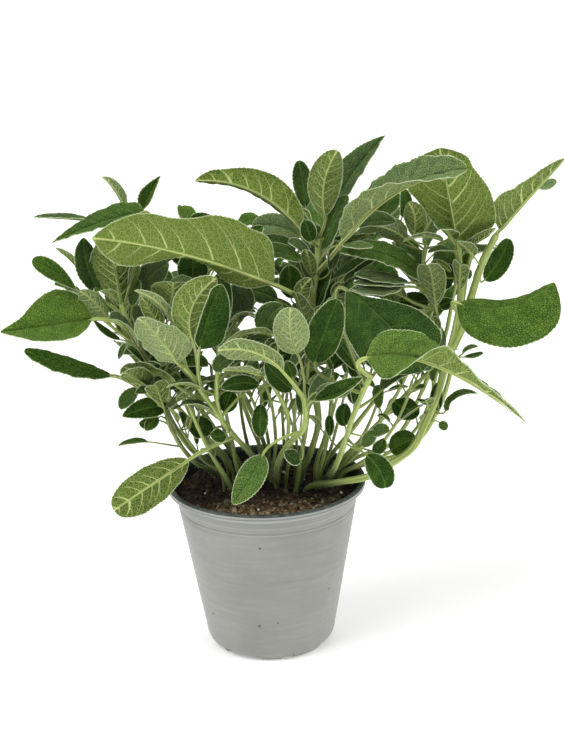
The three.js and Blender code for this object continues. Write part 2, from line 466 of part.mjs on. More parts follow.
function leafGeometry(root, base, middle, tip, halfWidth, faces, twist, leftFold, rightFold, shape, room = 0) {
  const blade = bladeCourse(base, middle, tip);
  const start = blade.getTangent(0);
  const faceUp = new THREE.Vector3(...faces).normalize();
  const reach = root.distanceTo(base);
  const petiole = new THREE.QuadraticBezierCurve3(root, base.clone().addScaledVector(start, -reach * ROOT_SHARE), base);
  const rings = [];
  const petioleSteps = reach > LONG_PETIOLE ? 2 : 1;
  for (let i = 0; i < petioleSteps; i++) {
    const share = i / petioleSteps;
    rings.push(bladeRing(petiole.getPoint(share), petiole.getTangent(share), faceUp, [PETIOLE_HALF, PETIOLE_HALF],
      [0, 0], PETIOLE_HALF * 0.6 + room, PETIOLE_HALF + room));
  }
  const steps = bladeSteps(blade.getLength() + 2 * halfWidth);
  for (let i = 0; i <= steps; i++) {
    const even = i / steps;
    const share = THREE.MathUtils.lerp(0.012, 0.985, even * 0.4 + 0.3 * (1 - Math.cos(Math.PI * even)));
    const along = blade.getTangent(share);
    const turned = faceUp.clone().addScaledVector(along, -faceUp.dot(along)).normalize()
      .applyAxisAngle(along, angleAt(Array.isArray(twist) ? twist : [0, twist], share));
    const widths = [0, 1].map((half) => Math.max(PETIOLE_HALF, widthAt(halfWidth, shape, half, share)) + room);
    rings.push(bladeRing(blade.getPoint(share), along, turned, widths,
      [angleAt(leftFold, share), angleAt(rightFold, share)], BLADE_HALF + room, RIB_HALF + room));
  }
  return skinOver(rings);
}

function tableLeaf(stalks, [stalk, place, base, middle, tip, halfWidth, faces, twist, leftFold, rightFold, shape]) {
  const root = curveOf(stalks[stalk][1]).getPoint(place);
  const [from, through, to] = [base, middle, tip].map((p) => new THREE.Vector3(...p));
  return [root, from, through, to, halfWidth, faces, twist, leftFold, rightFold, shape];
}

// The same draws in the same order on every run.
function draws(seed) {
  let state = seed;
  return (low, high) => {
    state = (state * 1664525 + 1013904223) % 4294967296;
    return low + (high - low) * (state / 4294967296);
  };
}

// Pairs of leaves up a back stem, each leaf arching out and over.
function pairedLeaves(points, draw) {
  const course = curveOf(points);
  const leaves = [];
  const firstTurn = draw(0, 180);
  PAIR_PLACES.forEach((place, pair) => {
    for (const opposite of [0, 180]) {
      const turn = THREE.MathUtils.degToRad(firstTurn + pair * PAIR_TURN + opposite + draw(-14, 14));
      const length = PAIR_LENGTHS[pair] * draw(0.85, 1.15);
      const rise = THREE.MathUtils.degToRad(draw(28, 58));
      const droop = length * draw(0.05, 0.3);
      const out = new THREE.Vector3(Math.cos(turn), Math.sin(turn), 0);
      const root = course.getPoint(place);
      const base = root.clone().addScaledVector(out, 12).add(new THREE.Vector3(0, 0, 11));
      const way = out.clone().multiplyScalar(Math.cos(rise)).setZ(Math.sin(rise));
      const middle = base.clone().addScaledVector(way, length / 2);
      const tip = base.clone().addScaledVector(way, length * 0.94).add(new THREE.Vector3(0, 0, -droop));
      const halfWidth = length * draw(0.18, 0.22);
      const fold = draw(4, 24);
      const faces = [-out.x * 0.6, -out.y * 0.6, 1];
      leaves.push([root, base, middle, tip, halfWidth, faces, draw(-20, 20), fold, fold, [0.55, 0.65]]);
    }
  });
  return leaves.filter(([, , , tip]) => tip.y > FRONT_LIMIT);
}

function fused(solids) {
  return wholeOf(solids.reduce((whole, solid) => whole.add(solid)));
}

const materials = {
  pot: () => new THREE.MeshStandardMaterial({ color: 0xa3a49c, roughness: 0.5, metalness: 0 }),
  soil: () => new THREE.MeshStandardMaterial({ color: 0x2e1f18, roughness: 0.95, metalness: 0 }),
  sage: () => new THREE.MeshStandardMaterial({ color: 0x5d7a36, roughness: 0.75, metalness: 0 }),
};

function node(name, solid, material) {
  const mesh = new THREE.Mesh(geometryOf(solid), material());
  mesh.name = name;
  return mesh;
}

const plant = new THREE.Group();
const placed = [];

function crossesAnother(stem, leaf) {
  const roomy = solidOf(leafGeometry(...leaf, LEAF_GAP));
  return placed.some((other) => other.stem !== stem && other.solid.intersect(roomy).volume() > 0);
}

function addStem(stem, stalks, leaves) {
  const solid = fused([...stalks, ...leaves.map((leaf) => solidOf(leafGeometry(...leaf)))]);
  placed.push({ stem, solid });
  plant.add(node(`leafy_stem_${stem}`, solid, materials.sage));
}

for (const [stem, { stalks, leaves }] of Object.entries(LEAFY_STEMS)) {
  const solids = Object.values(stalks).map(([radius, points]) => stalkSolid(radius, points));
  addStem(stem, solids, leaves.map((row) => tableLeaf(stalks, row)));
}
for (const [stem, [radius, points]] of Object.entries(BACK_STEMS)) {
  placed.push({ stem, solid: stalkSolid(radius + LEAF_GAP, points) });
}
const draw = draws(SEED);
for (const [stem, [radius, points]] of Object.entries(BACK_STEMS)) {
  const leaves = pairedLeaves(points, draw).filter((leaf) => !crossesAnother(stem, leaf));
  addStem(stem, [stalkSolid(radius, points)], leaves);
}
const footings = [...Object.values(LEAFY_STEMS).map(({ stalks }) => stalks.main), ...Object.values(BACK_STEMS)];
plant.add(node("soil", soil(footings), materials.soil));
plant.add(node("pot", pot(), materials.pot));

export default plant;
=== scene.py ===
"""Looks of the potted sage: felted leaves, hairy stalks, crumbly soil and a grey nursery pot."""

import math

import bpy
import numpy as np
from mathutils import Matrix, Vector, noise


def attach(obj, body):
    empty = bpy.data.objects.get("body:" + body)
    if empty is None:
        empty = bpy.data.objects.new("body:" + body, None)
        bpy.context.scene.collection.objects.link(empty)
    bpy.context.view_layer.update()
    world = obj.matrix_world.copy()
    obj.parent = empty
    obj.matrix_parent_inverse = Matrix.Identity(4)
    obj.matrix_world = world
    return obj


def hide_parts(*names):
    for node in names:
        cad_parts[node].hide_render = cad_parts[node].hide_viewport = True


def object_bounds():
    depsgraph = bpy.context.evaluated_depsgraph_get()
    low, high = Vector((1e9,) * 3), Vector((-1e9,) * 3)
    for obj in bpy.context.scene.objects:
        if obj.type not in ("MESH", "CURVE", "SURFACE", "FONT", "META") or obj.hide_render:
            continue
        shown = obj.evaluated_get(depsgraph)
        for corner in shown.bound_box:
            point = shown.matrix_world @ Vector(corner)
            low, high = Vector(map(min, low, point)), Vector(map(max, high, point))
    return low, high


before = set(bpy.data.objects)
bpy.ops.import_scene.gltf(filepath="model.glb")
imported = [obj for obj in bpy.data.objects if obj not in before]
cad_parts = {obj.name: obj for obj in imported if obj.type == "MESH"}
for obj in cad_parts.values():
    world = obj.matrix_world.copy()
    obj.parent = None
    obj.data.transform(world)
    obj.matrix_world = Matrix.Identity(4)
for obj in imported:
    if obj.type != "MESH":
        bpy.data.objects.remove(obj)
cad_box = [list(v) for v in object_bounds()]

MM = 0.001

# Camera, fitted to the pot in the photograph
CAMERA_PITCH = 18.0
CAMERA_ROLL = -1.74
CAMERA_DISTANCE = 1000.0
CAMERA_AIM = (11.3, 0.0, 169.0)
FOCAL_PIXELS = 1680.0
IMAGE_WIDTH = 564
IMAGE_HEIGHT = 752
SENSOR = 36.0


def row(place, base, middle, tip, half_width, faces, tone, frost, stalk=0, **form):
    """A leaf of the tables: its place up the stalk from 0 to 1, the base, middle and tip of its midrib,
    its half width, where its upper side faces, how light it is from 0 for old to 1 for young, and how
    frosted with felt. Its form can have a fold on each side and a twist, in degrees, how full it is at
    its base and its tip, or the half widths of its left and right edges from base to tip."""
    return stalk, place, (base, middle, tip, half_width, faces), form, (tone, frost)


# Radius and course of each stem's stalks, from the soil up, in millimetres
STALKS = {
    "left": [(1.7, [(-29, 22, 84), (-29, 22, 102), (-45, 8, 121), (-56, -3, 145), (-60, -10, 163),
                    (-64, -16, 180), (-72, -18, 198), (-77, -17, 211), (-80, -16, 221)])],
    "low_left": [(1.5, [(-31, 12, 84), (-31, 12, 102), (-42, 0, 115), (-50, -8, 129), (-56, -14, 145),
                        (-58, -16, 156)])],
    "front_left": [(1.8, [(-1, 8, 84), (-1, 8, 102), (-9, -14, 126), (-16, -30, 141), (-24, -37, 155),
                          (-32, -40, 169), (-39, -43, 183), (-44, -45, 191)]),
                   (1.2, [(-22, -36, 151), (-26, -40, 166), (-26, -44, 179), (-25, -46, 193)])],
    "front": [(1.9, [(6, -6, 84), (6, -6, 102), (7, -20, 120), (13, -36, 138), (22, -52, 153),
                     (24, -58, 166), (23, -60, 177)]),
              (1.3, [(13, -36, 138), (14, -46, 160), (8, -50, 176), (2, -52, 186)])],
    "centre": [(2.2, [(21, 2, 84), (21, 2, 102), (27, -6, 122), (32, -8, 141), (31, -8, 159),
                      (30, -6, 180), (30, -4, 198), (31, -2, 216), (34, 0, 236), (35, 4, 251)])],
    "front_right": [(1.9, [(36, -3, 84), (36, -3, 102), (41, -24, 119), (47, -42, 143), (50, -52, 158),
                           (56, -56, 175), (61, -58, 186)])],
    "right": [(2.4, [(24, -12, 84), (24, -12, 101), (40, -26, 110), (60, -30, 115), (74, -28, 122),
                     (86, -26, 130), (94, -22, 143), (102, -18, 160), (108, -13, 180), (114, -9, 200),
                     (117, -6, 220), (116, -4, 237), (115, -2, 245)]),
              (2.4, [(108, -13, 180), (117, -10, 197), (124, -4, 218), (130, -2, 236), (138, 0, 251)])],
    "upper_right": [(1.5, [(38, 12, 84), (38, 12, 102), (51, 8, 117), (70, 8, 136), (85, 8, 152),
                           (100, 6, 168), (106, 4, 184), (103, 2, 206), (96, 2, 225), (96, 4, 235),
                           (98, 6, 245)])],
    "back_left": [(1.6, [(-16, 26, 84), (-16, 26, 102), (-30, 20, 128), (-44, 12, 155), (-56, 6, 180),
                         (-67, 5, 205), (-74, 8, 230), (-71, 12, 256)])],
    "inner": [(1.5, [(2, 28, 84), (2, 28, 102), (-4, 18, 130), (-14, 8, 160), (-24, 0, 190),
                     (-30, -6, 212), (-34, -10, 224)])],
}

# The leaves of each stem, in the order in which they were laid
LEAVES = {"left": [
    row(0.96, (-80, -16, 223), (-83, -14, 243), (-88, -12, 261), 20, (4, 10, 1), 0.1, 0, fold=(75, 10),
        at_tip=0.8),
    row(0.92, (-94, -8, 226), (-100, -4, 243), (-101, 0, 257), 8, (5, -10, 2), 0.1, 0.1, at_tip=0.8),
    row(0.80, (-104, -20, 230), (-115, -24, 242), (-128, -26, 251), 5.5, (-4, -10, 7), 0.45, 0,
        fold=(20, 0), at_base=1.1, at_tip=0.5),
    row(0.74, (-88, -20, 213), (-93, -22, 222), (-103, -22, 231), 9, (-3, 10, 1), 0.4, 0.6, fold=(60, 5)),
    row(0.84, (-96, -26, 215), (-121, -34, 214), (-147, -40, 213), 21, (0, -10, 7), 0.76, 0.05,
        fold=(42, 0), edges=([2, 11, 18, 19, 19, 17, 12, 7, 1], [6, 17, 21, 21, 19, 14, 8, 4, 1])),
    row(0.70, (-82, -14, 199), (-90, -16, 204), (-97, -18, 213), 3, (0, -5, 10), 0.2, 0.1, at_tip=0.8),
    row(0.68, (-79, -12, 196), (-82, -12, 191), (-84, -12, 186), 2, (0, -10, 10), 0.2, 0.6, at_tip=0.8),
    row(0.56, (-66, -10, 177), (-74, -8, 177), (-83, -6, 174), 2, (0, -3, 10), 0.3, 0.2, at_tip=0.7),
], "low_left": [
    row(0.97, (-88, -20, 179), (-111, -26, 187), (-136, -30, 199), 7, (0, -6, 10), 0.4, 0, fold=0,
        at_tip=0.5),
    row(0.90, (-73, -16, 169), (-79, -18, 164), (-84, -20, 158), 5, (-5, -10, 5), 0.5, 0.2, fold=15),
    row(0.93, (-57, -14, 157), (-69, -20, 158), (-83, -24, 155), 6.5, (0, -10, 6), 0.15, 0, at_tip=0.8),
    row(1.00, (-49, -14, 170), (-61, -19, 171), (-75, -22, 168), 6.5, (0, -8, 8), 0.1, 0.25, fold=(30, 20),
        at_tip=0.8),
    row(0.60, (-70, -8, 133), (-79, -10, 134), (-88, -12, 132), 3, (0, -3, 10), 0.4, 0.2, at_tip=0.8),
    row(0.75, (-45, -12, 142), (-38, -14, 143), (-31, -16, 140), 7, (0, -10, 5), 0.05, 0),
    row(0.85, (-62, -19, 152), (-66, -21, 149), (-70, -22, 145), 4, (-5, -10, 3), 0.2, 0, at_tip=0.7),
    row(0.80, (-64, -14, 148), (-69, -15, 147), (-74, -16, 148), 4, (-5, -10, 3), 0.2, 0, at_tip=0.7),
], "front_left": [
    row(0.45, (-44, -46, 135), (-65, -52, 123), (-88, -54, 108), 13, (2, 10, 1), 0.3, 0, fold=(45, 10),
        at_tip=0.35),
    row(1.00, (-47, -48, 194), (-56, -52, 210), (-68, -54, 223), 13, (2, 10, 2), 0.9, 1.0, fold=(15, 10),
        edges=([4, 12, 13, 12, 11, 8, 6, 4, 1], [4, 10, 12, 13, 13, 12, 11, 9, 1])),
    row(0.95, (-48, -42, 213), (-56, -42, 227), (-70, -40, 235), 4, (5, 10, 3), 0.7, 0.9, fold=20,
        at_tip=0.7),
    row(0.93, (-56, -40, 211), (-61, -38, 221), (-67, -36, 231), 6, (3, 10, 2), 0.2, 0),
    row(0.90, (-52, -34, 221), (-49, -37, 230), (-48, -40, 239), 13, (1, 10, 2), 0.75, 0.1, at_base=0.5,
        at_tip=0.35),
    row(0.80, (-38, -52, 209), (-37, -52, 228), (-23, -48, 243), 12, (2, 10, 1), 0.6, 0.1, at_tip=0.7),
    row(0.76, (-34, -58, 205), (-28, -60, 225), (-20, -58, 242), 12, (0, -10, 2), 0, 0, fold=5,
        edges=([1, 4, 4, 4, 4, 4, 4, 4, 1], [3, 10, 12, 12, 12, 11, 9, 6, 1])),
    row(0.40, (-23, -34, 159), (-20, -34, 166), (-18, -32, 171), 6, (0, -10, 5), 0, 0, stalk=1),
    row(0.50, (-22, -43, 149), (-26, -44, 148), (-31, -46, 150), 5, (0, -10, 10), 0.1, 0),
    row(1.00, (-25, -48, 188), (-22, -52, 195), (-14, -56, 199), 5, (0, -10, 5), 0.1, 0.2, stalk=1),
], "front": [
    row(0.66, (-1, -58, 141), (-8, -62, 129), (-19, -62, 113), 8, (-2, -10, 3), 0.7, 0.2, fold=(10, 5),
        at_tip=0.7),
    row(0.95, (20, -72, 205), (17, -74, 217), (17, -74, 232), 10, (1, 10, 2), 0.82, 0.9, fold=5,
        at_base=0.55, at_tip=0.5),
    row(0.98, (12, -76, 196), (-3, -84, 210), (-23, -88, 213), 10, (0, 10, -2), 0.6, 0.65, fold=(5, 50),
        edges=([1, 5, 6, 6, 6, 6, 6, 4, 1], [1, 2, 4, 8, 9, 10, 10, 8, 1])),
    row(0.90, (6, -60, 213), (-6, -66, 216), (-19, -70, 212), 6, (0, 4, 10), 0.3, 0.5, fold=20, at_tip=0.7,
        stalk=1),
    row(1.00, (0, -58, 189), (-11, -62, 193), (-22, -64, 194), 6, (0, 4, 10), 0.5, 0.9, fold=20, at_tip=0.7,
        stalk=1),
    row(0.80, (-2, -50, 180), (-12, -54, 183), (-23, -56, 181), 5, (0, -10, 6), 0, 0, stalk=1),
    row(0.90, (17, -54, 179), (9, -58, 187), (2, -60, 197), 7, (3, -10, 5), 0, 0, at_tip=0.7),
    row(1.00, (17, -68, 190), (16, -68, 194), (14, -68, 200), 4, (0, -10, 3), 0, 0),
    row(0.50, (-1, -48, 168), (-2, -52, 160), (-2, -54, 150), 5, (0, -10, 3), 0.05, 0, stalk=1),
    row(0.85, (29, -64, 175), (43, -70, 181), (56, -74, 191), 7, (1, -6, 10), 0.1, 0, fold=30, at_tip=0.8),
    row(0.90, (30, -56, 177), (39, -61, 179), (49, -66, 180), 5, (0, -10, 6), 0.5, 0.9),
    row(0.62, (20, -54, 136), (16, -56, 138), (11, -58, 143), 5, (0, -10, 10), 0, 0.1),
], "centre": [
    row(0.76, (8, -25, 232), (-43, -42, 256), (-91, -50, 268), 26, (0, 10, -1), 0.96, 0.05,
        fold=(8, [10, 25, 40, 68, 78, 65, 45, 25, 10, 5, 5]),
        edges=([9, 23, 25, 27, 25, 20, 18, 18, 15, 9, 1], [1, 9, 12, 12, 12, 12, 13, 14, 14, 10, 1])),
    row(0.98, (24, 8, 257), (-3, 12, 279), (-36, 10, 286), 14, (0, 10, -1), 0.75, 0, fold=(5, 70),
        edges=([6, 10, 13, 14, 13, 11, 8, 6, 1], [1, 6, 8, 8, 7, 6, 6, 6, 1])),
    row(1.00, (28, 20, 266), (27, 26, 279), (25, 28, 293), 6, (0, -10, 2), 0.05, 0.1, at_tip=0.5),
    row(1.00, (39, 2, 265), (39, 0, 285), (47, -4, 304), 10, (2, 10, 1), 0.6, 0.2),
    row(1.00, (43, 14, 263), (56, 20, 285), (76, 24, 307), 11, (-6, -10, 3), 0.05, 0.4, fold=(20, 40),
        at_tip=0.9),
    row(0.86, (49, -14, 254), (78, -24, 283), (117, -34, 297), 15, (-3, 3, 10), 0.62, 0.7,
        fold=([50, 35], [75, 10]), twist=45, at_base=0.5, at_tip=0.5),
    row(0.97, (31, -6, 252), (29, -7, 258), (27, -7, 265), 5, (0, -10, 5), 0, 0, at_tip=0.5),
    row(0.97, (25, 22, 248), (11, 26, 254), (-4, 28, 254), 8, (0, -10, 6), 1.0, 1.0),
    row(0.93, (21, 12, 242), (13, 14, 247), (2, 14, 250), 6, (0, -4, 10), 0, 0.1),
    row(0.75, (18, -5, 218), (18, -7, 228), (17, -9, 239), 7, (0, -10, 3), 0.1, 0, fold=5, at_tip=0.5),
    row(0.74, (25, -10, 214), (24, -10, 223), (30, -10, 231), 5, (3, 10, 2), 0.1, 0.1),
    row(0.66, (4, -34, 206), (5, -38, 216), (13, -38, 223), 8, (0, -10, 4), 0.1, 0.2, fold=5),
    row(0.70, (10, -8, 218), (1, -10, 223), (-9, -12, 227), 7, (0, -10, 10), 0.1, 0.1, fold=5),
    row(0.64, (1, -22, 209), (-9, -24, 215), (-18, -26, 210), 4, (0, 2, 10), 0, 0.3, fold=20),
    row(0.88, (48, -22, 253), (56, -26, 253), (65, -28, 253), 5, (0, -2, 10), 0.3, 0.4),
    row(0.84, (41, -8, 235), (43, -8, 244), (45, -8, 253), 4, (4, -10, 3), 0.1, 0.4),
], "front_right": [
    row(0.84, (30, -60, 196), (35, -64, 213), (43, -64, 233), 10, (1, -10, 3), 0.14, 0.02, fold=5,
        at_base=0.5, at_tip=0.5),
    row(0.90, (49, -38, 231), (70, -50, 215), (90, -58, 188), 26, (0, -8, 7), 0, 0.05, fold=8,
        edges=([1, 2, 5, 10, 15, 19, 21, 19, 3], [3, 10, 19, 24, 26, 27, 24, 17, 3])),
    row(1.00, (57, -84, 205), (94, -94, 203), (142, -98, 170), 17, (0, -9, 5), 0.82, 0.15,
        fold=(5, [5, 5, 5, 40, 100, 105, 105, 105, 105]), twist=[0, 0, 0, -25, -50, -55, -55, -55, -55],
        edges=([2, 12, 14, 16, 18, 14, 9, 6, 1], [3, 13, 12, 9, 12, 8, 4, 3, 1])),
    row(0.50, (58, -58, 139), (65, -62, 131), (68, -64, 121), 7.5, (2, -10, 3), 0.15, 0, fold=5,
        at_base=0.5, at_tip=0.4),
    row(0.52, (56, -52, 142), (60, -54, 148), (64, -56, 153), 4, (0, -10, 5), 0.5, 0.2),
    row(0.56, (61, -54, 150), (66, -58, 154), (71, -60, 154), 4, (0, -10, 7), 0.4, 0.2),
    row(0.48, (62, -48, 137), (66, -50, 141), (68, -52, 147), 4, (0, -10, 3), 0.2, 0),
    row(0.46, (47, -36, 149), (46, -36, 156), (48, -36, 163), 5, (0, -10, 3), 0, 0),
    row(0.44, (38, -34, 142), (38, -33, 149), (38, -32, 155), 3, (0, -10, 3), 0, 0),
], "right": [
    row(0.97, (115, -4, 246), (110, -8, 274), (104, -10, 305), 26, (0, 10, 0), 0.78, 0, fold=(5, 30),
        edges=([8, 22, 25, 25, 24, 21, 17, 14, 2], [2, 6, 12, 16, 20, 25, 27, 23, 2])),
    row(1.00, (140, 0, 254), (156, 0, 272), (178, 0, 295), 14, (-5, 10, 2), 0.7, 0.25, fold=(70, 15),
        edges=([1, 5, 7, 8, 8, 7, 5, 3, 1], [3, 12, 15, 14, 11, 9, 7, 5, 1]), stalk=1),
    row(0.95, (164, 12, 275), (170, 14, 277), (175, 16, 279), 3, (0, -10, 5), 0.5, 0.9, fold=5, stalk=1),
    row(0.80, (133, 12, 221), (142, 16, 231), (148, 20, 244), 7, (2, -10, 3), 0.1, 0, fold=5, at_base=0.5,
        at_tip=0.5, stalk=1),
    row(0.78, (113, -22, 217), (140, -32, 217), (166, -38, 232), 28, (0, -10, 4), 0.68, 0.05,
        fold=([-55, -60, -75, -85, -85], 0),
        edges=([2, 10, 12, 12, 12, 11, 9, 6, 1], [4, 14, 19, 22, 24, 24, 23, 18, 3])),
    row(0.93, (138, 6, 242), (128, 4, 242), (119, 4, 241), 4, (0, -4, 10), 0.2, 0.3, stalk=1),
    row(0.98, (113, -8, 244), (105, -12, 246), (97, -14, 245), 4, (0, -2, 10), 0.3, 0.5, fold=20),
    row(0.99, (118, -4, 246), (127, -6, 249), (137, -8, 257), 6, (0, 6, 10), 0.1, 0.1, fold=20),
    row(0.58, (103, -14, 149), (102, -13, 157), (103, -12, 166), 4, (0, -10, 3), 0, 0),
    row(0.54, (107, -18, 150), (113, -22, 161), (125, -26, 163), 4, (2, -4, 10), 0.4, 0.3, at_tip=0.8),
    row(0.66, (117, -14, 184), (121, -16, 188), (126, -18, 189), 2.5, (0, -5, 10), 0.3, 0.5, at_tip=0.8),
    row(0.65, (118, -14, 182), (124, -16, 183), (129, -18, 185), 2.5, (0, -5, 10), 0.3, 0.4, at_tip=0.5),
    row(0.50, (103, -20, 144), (105, -20, 142), (108, -20, 140), 3, (0, -10, 5), 0.3, 0.1, at_tip=0.5),
], "upper_right": [
    row(0.97, (84, 6, 262), (86, 6, 270), (84, 6, 279), 4, (3, -10, 2), 0.5, 0, at_base=0.5, at_tip=0.5),
    row(0.96, (70, 14, 261), (75, 16, 267), (83, 18, 274), 7, (-2, -10, 3), 0.3, 0.1, at_tip=0.5),
    row(1.00, (90, 2, 251), (91, 0, 262), (87, 0, 272), 7, (3, 10, 1), 0.6, 0.1),
    row(0.94, (86, 8, 248), (78, 6, 254), (69, 6, 257), 8, (0, 10, 3), 0.3, 0.9, fold=(10, 20), at_tip=0.5),
    row(1.00, (97, 8, 251), (101, 10, 258), (107, 12, 266), 7, (3, 10, 1), 0.4, 0.5),
    row(0.98, (107, -2, 249), (96, -6, 253), (83, -10, 251), 4, (0, 5, 10), 0.3, 0.8, fold=20),
    row(0.80, (96, -4, 225), (74, -14, 244), (46, -22, 249), 9, (-1, -7, 10), 0.45, 0.1),
    row(0.78, (86, -14, 228), (69, -20, 232), (54, -24, 236), 6, (0, -4, 10), 0.1, 0.5, fold=15),
    row(0.76, (84, -18, 227), (69, -24, 230), (53, -28, 232), 5, (0, -3, 10), 0, 0.4, fold=15),
    row(0.74, (81, -22, 227), (67, -28, 227), (52, -32, 230), 6, (0, -5, 10), 0, 0.6, fold=15),
    row(0.82, (115, 8, 225), (109, 8, 225), (99, 8, 221), 8, (0, -10, 5), 0, 0, fold=5),
    row(0.70, (99, 4, 211), (91, 2, 212), (81, 0, 213), 6, (0, -10, 7), 0.1, 0.1, fold=5),
    row(0.72, (105, 0, 209), (109, -1, 211), (113, -2, 213), 4, (0, -10, 5), 0, 0, fold=5, at_tip=0.8),
    row(0.32, (78, 2, 151), (84, -2, 147), (93, -4, 146), 7, (0, -10, 4), 0, 0, fold=5, at_tip=0.5),
    row(0.22, (75, -4, 121), (82, -9, 127), (90, -12, 132), 8, (0, -10, 5), 0.2, 0, fold=5, at_tip=0.5),
], "back_left": [
    row(0.97, (-66, 4, 270), (-92, 0, 265), (-120, -6, 255), 10, (-3, -8, 10), 0.3, 0.1, fold=(25, 5),
        at_base=0.35, at_tip=1.0),
    row(1.00, (-78, 18, 270), (-84, 20, 281), (-91, 22, 288), 5, (5, 10, 3), 0.1, 0.6, fold=50, at_tip=0.9),
    row(1.00, (-67, 16, 269), (-63, 18, 277), (-56, 20, 288), 6, (-5, -10, 3), 0.25, 0, fold=40, at_tip=0.9),
    row(0.92, (-99, 12, 265), (-115, 14, 266), (-131, 12, 267), 4, (0, -2, 10), 0.1, 0.4, fold=20),
    row(0.78, (-72, 4, 221), (-64, 4, 231), (-53, 4, 240), 8, (-2, -10, 4), 0.05, 0.4, fold=5),
], "inner": [
    row(1.00, (-37, -14, 229), (-38, -15, 240), (-37, -15, 250), 9, (0, -10, 3), 0.05, 0, fold=5),
    row(0.88, (-13, -14, 210), (-11, -16, 221), (-13, -16, 232), 8, (0, -10, 4), 0, 0.4, fold=5),
    row(1.00, (-25, 14, 259), (-32, 18, 262), (-40, 20, 262), 4, (0, -8, 10), 0, 0),
]}

# Stems at the back carry their leaves in pairs, each pair square to the one below it
BACK_STALKS = {
    "back": (1.6, [(22, 28, 84), (22, 28, 102), (26, 40, 130), (34, 54, 165), (40, 62, 200), (44, 66, 232)]),
    "far_left": (1.6, [(-24, 38, 84), (-24, 38, 102), (-44, 46, 122), (-66, 54, 148), (-84, 58, 178),
                       (-94, 60, 205)]),
    "back_middle": (1.6, [(-2, 42, 84), (-2, 42, 102), (-12, 54, 128), (-24, 66, 160), (-34, 74, 195),
                          (-38, 78, 226)]),
    "far_right": (1.6, [(38, 30, 84), (38, 30, 102), (54, 38, 120), (76, 48, 146), (92, 54, 175),
                        (100, 58, 205)]),
}
SEED = 20260
DRAW_FACTOR = 1664525
DRAW_STEP = 1013904223
DRAW_RANGE = 4294967296
PAIR_PLACES = [0.5, 0.66, 0.8, 0.91, 1.0]
PAIR_LENGTHS = [60, 64, 58, 48, 34]
PAIR_TURN = 90
TURN_SPREAD = 14
PAIR_RISES = (28, 58)
PAIR_DROOPS = (0.05, 0.3)
PAIR_WIDTHS = (0.18, 0.22)
PAIR_FOLDS = (4, 24)
PETIOLE_OUT = 12
PETIOLE_UP = 11.0
FRONT_LIMIT = 14

# Leaf detail, in millimetres. Leaves longer and wider than the first two get teeth and closer rows
FINE_LENGTH = 15
FINE_HALF_WIDTH = 3.5
ROW_SPACING = 0.62
COARSE_SPACING = 1.5
TOOTH_PITCH = 2.3
TOOTH_DEPTH = 0.55
BLADE_HALF = 0.2
EDGE_HALF = 0.13
LEAST_WIDTH = 0.25
RIB_DEPTH = 0.2
GROOVE_DEPTH = 0.35
GROOVE_WIDTH = 0.8
GROOVED_HALF_WIDTH = 6
PATCH_LENGTH = 40
LONG_WAVES = (11, 17)
SHORT_WAVES = (5, 8)
WAVE_HEIGHTS = (0.45, 0.8)
WAVED_WIDTH = 11

# Petioles, midribs and stalks, in millimetres. The petiole's radius and the end of the midrib are shares
# of the blade's length, and a stalk's foot starts at a share of its radius
PETIOLE_SHARE = 0.023
THIN_PETIOLE = 0.5
THICK_PETIOLE = 1.35
END_RADIUS = 0.02
PETIOLE_STEP = 2.5
RIB_STEP = 3
RIB_END = 0.93
LONG_LEAF = 40
STALK_SIDES = 10
STALK_FOOT = 0.74
STALK_RISE = 1.5
RINGS_PER_POINT = 6
STALK_CORNERS = 0.05
HAIR_WIDTH = 0.045
STEM_HAIRS = 6
THIN_HAIRS = 2

# Leaf detail, as shares of the blade's length or half width, and as counts
PATCHES = 97
MOST_FROST = 0.6
MIDRIB_STEPS = 40
ROOT_SHARE = 0.35
FADE_BASE = 0.12
FADE_TIP = 0.08
ROUND_BASE = 0.09
ROUND_TIP = 0.05
CAMBER = 0.06
PUFF = 0.08
WIDE_COLUMNS = np.array([0, 0.05, 0.12, 0.25, 0.4, 0.55, 0.7, 0.83, 0.93, 1.0])
NARROW_COLUMNS = np.array([0, 0.12, 0.35, 0.65, 0.88, 1.0])

# Small leaves that fill the crown: how many are tried on each stem, how long, how far apart and how far
# inside the solids' box
BOX_MARGIN = 2
FILLER_SEED = 1000
FILLER_TRIES = 90
FILLER_LENGTHS = (18, 42)
FILLER_GAP = 3.0
LOWEST_FILLER = 158
FRONT_FILLER = -52
# The small leaves are painted at half their tone, darker as shade inside the crown.
FILLER_SHADE_TONE = 0.5
FILLER_PLACES = (0.42, 1.0)
FILLER_RISES = (15, 70)
FILLER_PETIOLES = (0.25, 0.5)
FILLER_BOWS = (0.02, 0.2)
FILLER_FOLDS = (5, 25)
FILLER_WIDTHS = (0.19, 0.25)
FILLER_TWIST = 25

# Small leaves of the young shoots
SHOOT_SEED = 8
SHOOT_STALK_SEED = 300
SHOOT_LEAF_SEED = 3000
SHOOT_FOOT = 95
SHOOT_FOOT_SPREAD = 0.94
SHOOT_LEAF_PLACES = (0.62, 0.86, 1.0)
SHOOT_LEAF_TONE = 0.7
SHOOT_GAP = 1.2
SHOOT_LEAF_LENGTHS = (9, 19)
LOWEST_SHOOT_LEAF = 124

# Pixels of the photograph: the crown's outline for the small leaves, and gaps that stay open in it
CROWN = [(88, 226), (112, 214), (150, 215), (190, 221), (238, 228), (262, 212), (285, 196), (330, 172),
         (380, 196), (415, 208), (450, 230), (488, 248), (498, 270), (458, 296), (462, 345), (440, 380),
         (455, 400), (428, 455), (395, 468), (360, 482), (190, 478), (166, 452), (140, 420), (122, 395),
         (112, 345), (84, 300)]
CLEARINGS = [(200, 258, 218, 279), (242, 322, 262, 332), (205, 349, 216, 358), (228, 400, 252, 427),
             (268, 413, 277, 424), (308, 425, 317, 442), (330, 398, 346, 442), (358, 398, 370, 427),
             (444, 290, 458, 342), (403, 278, 414, 302)]

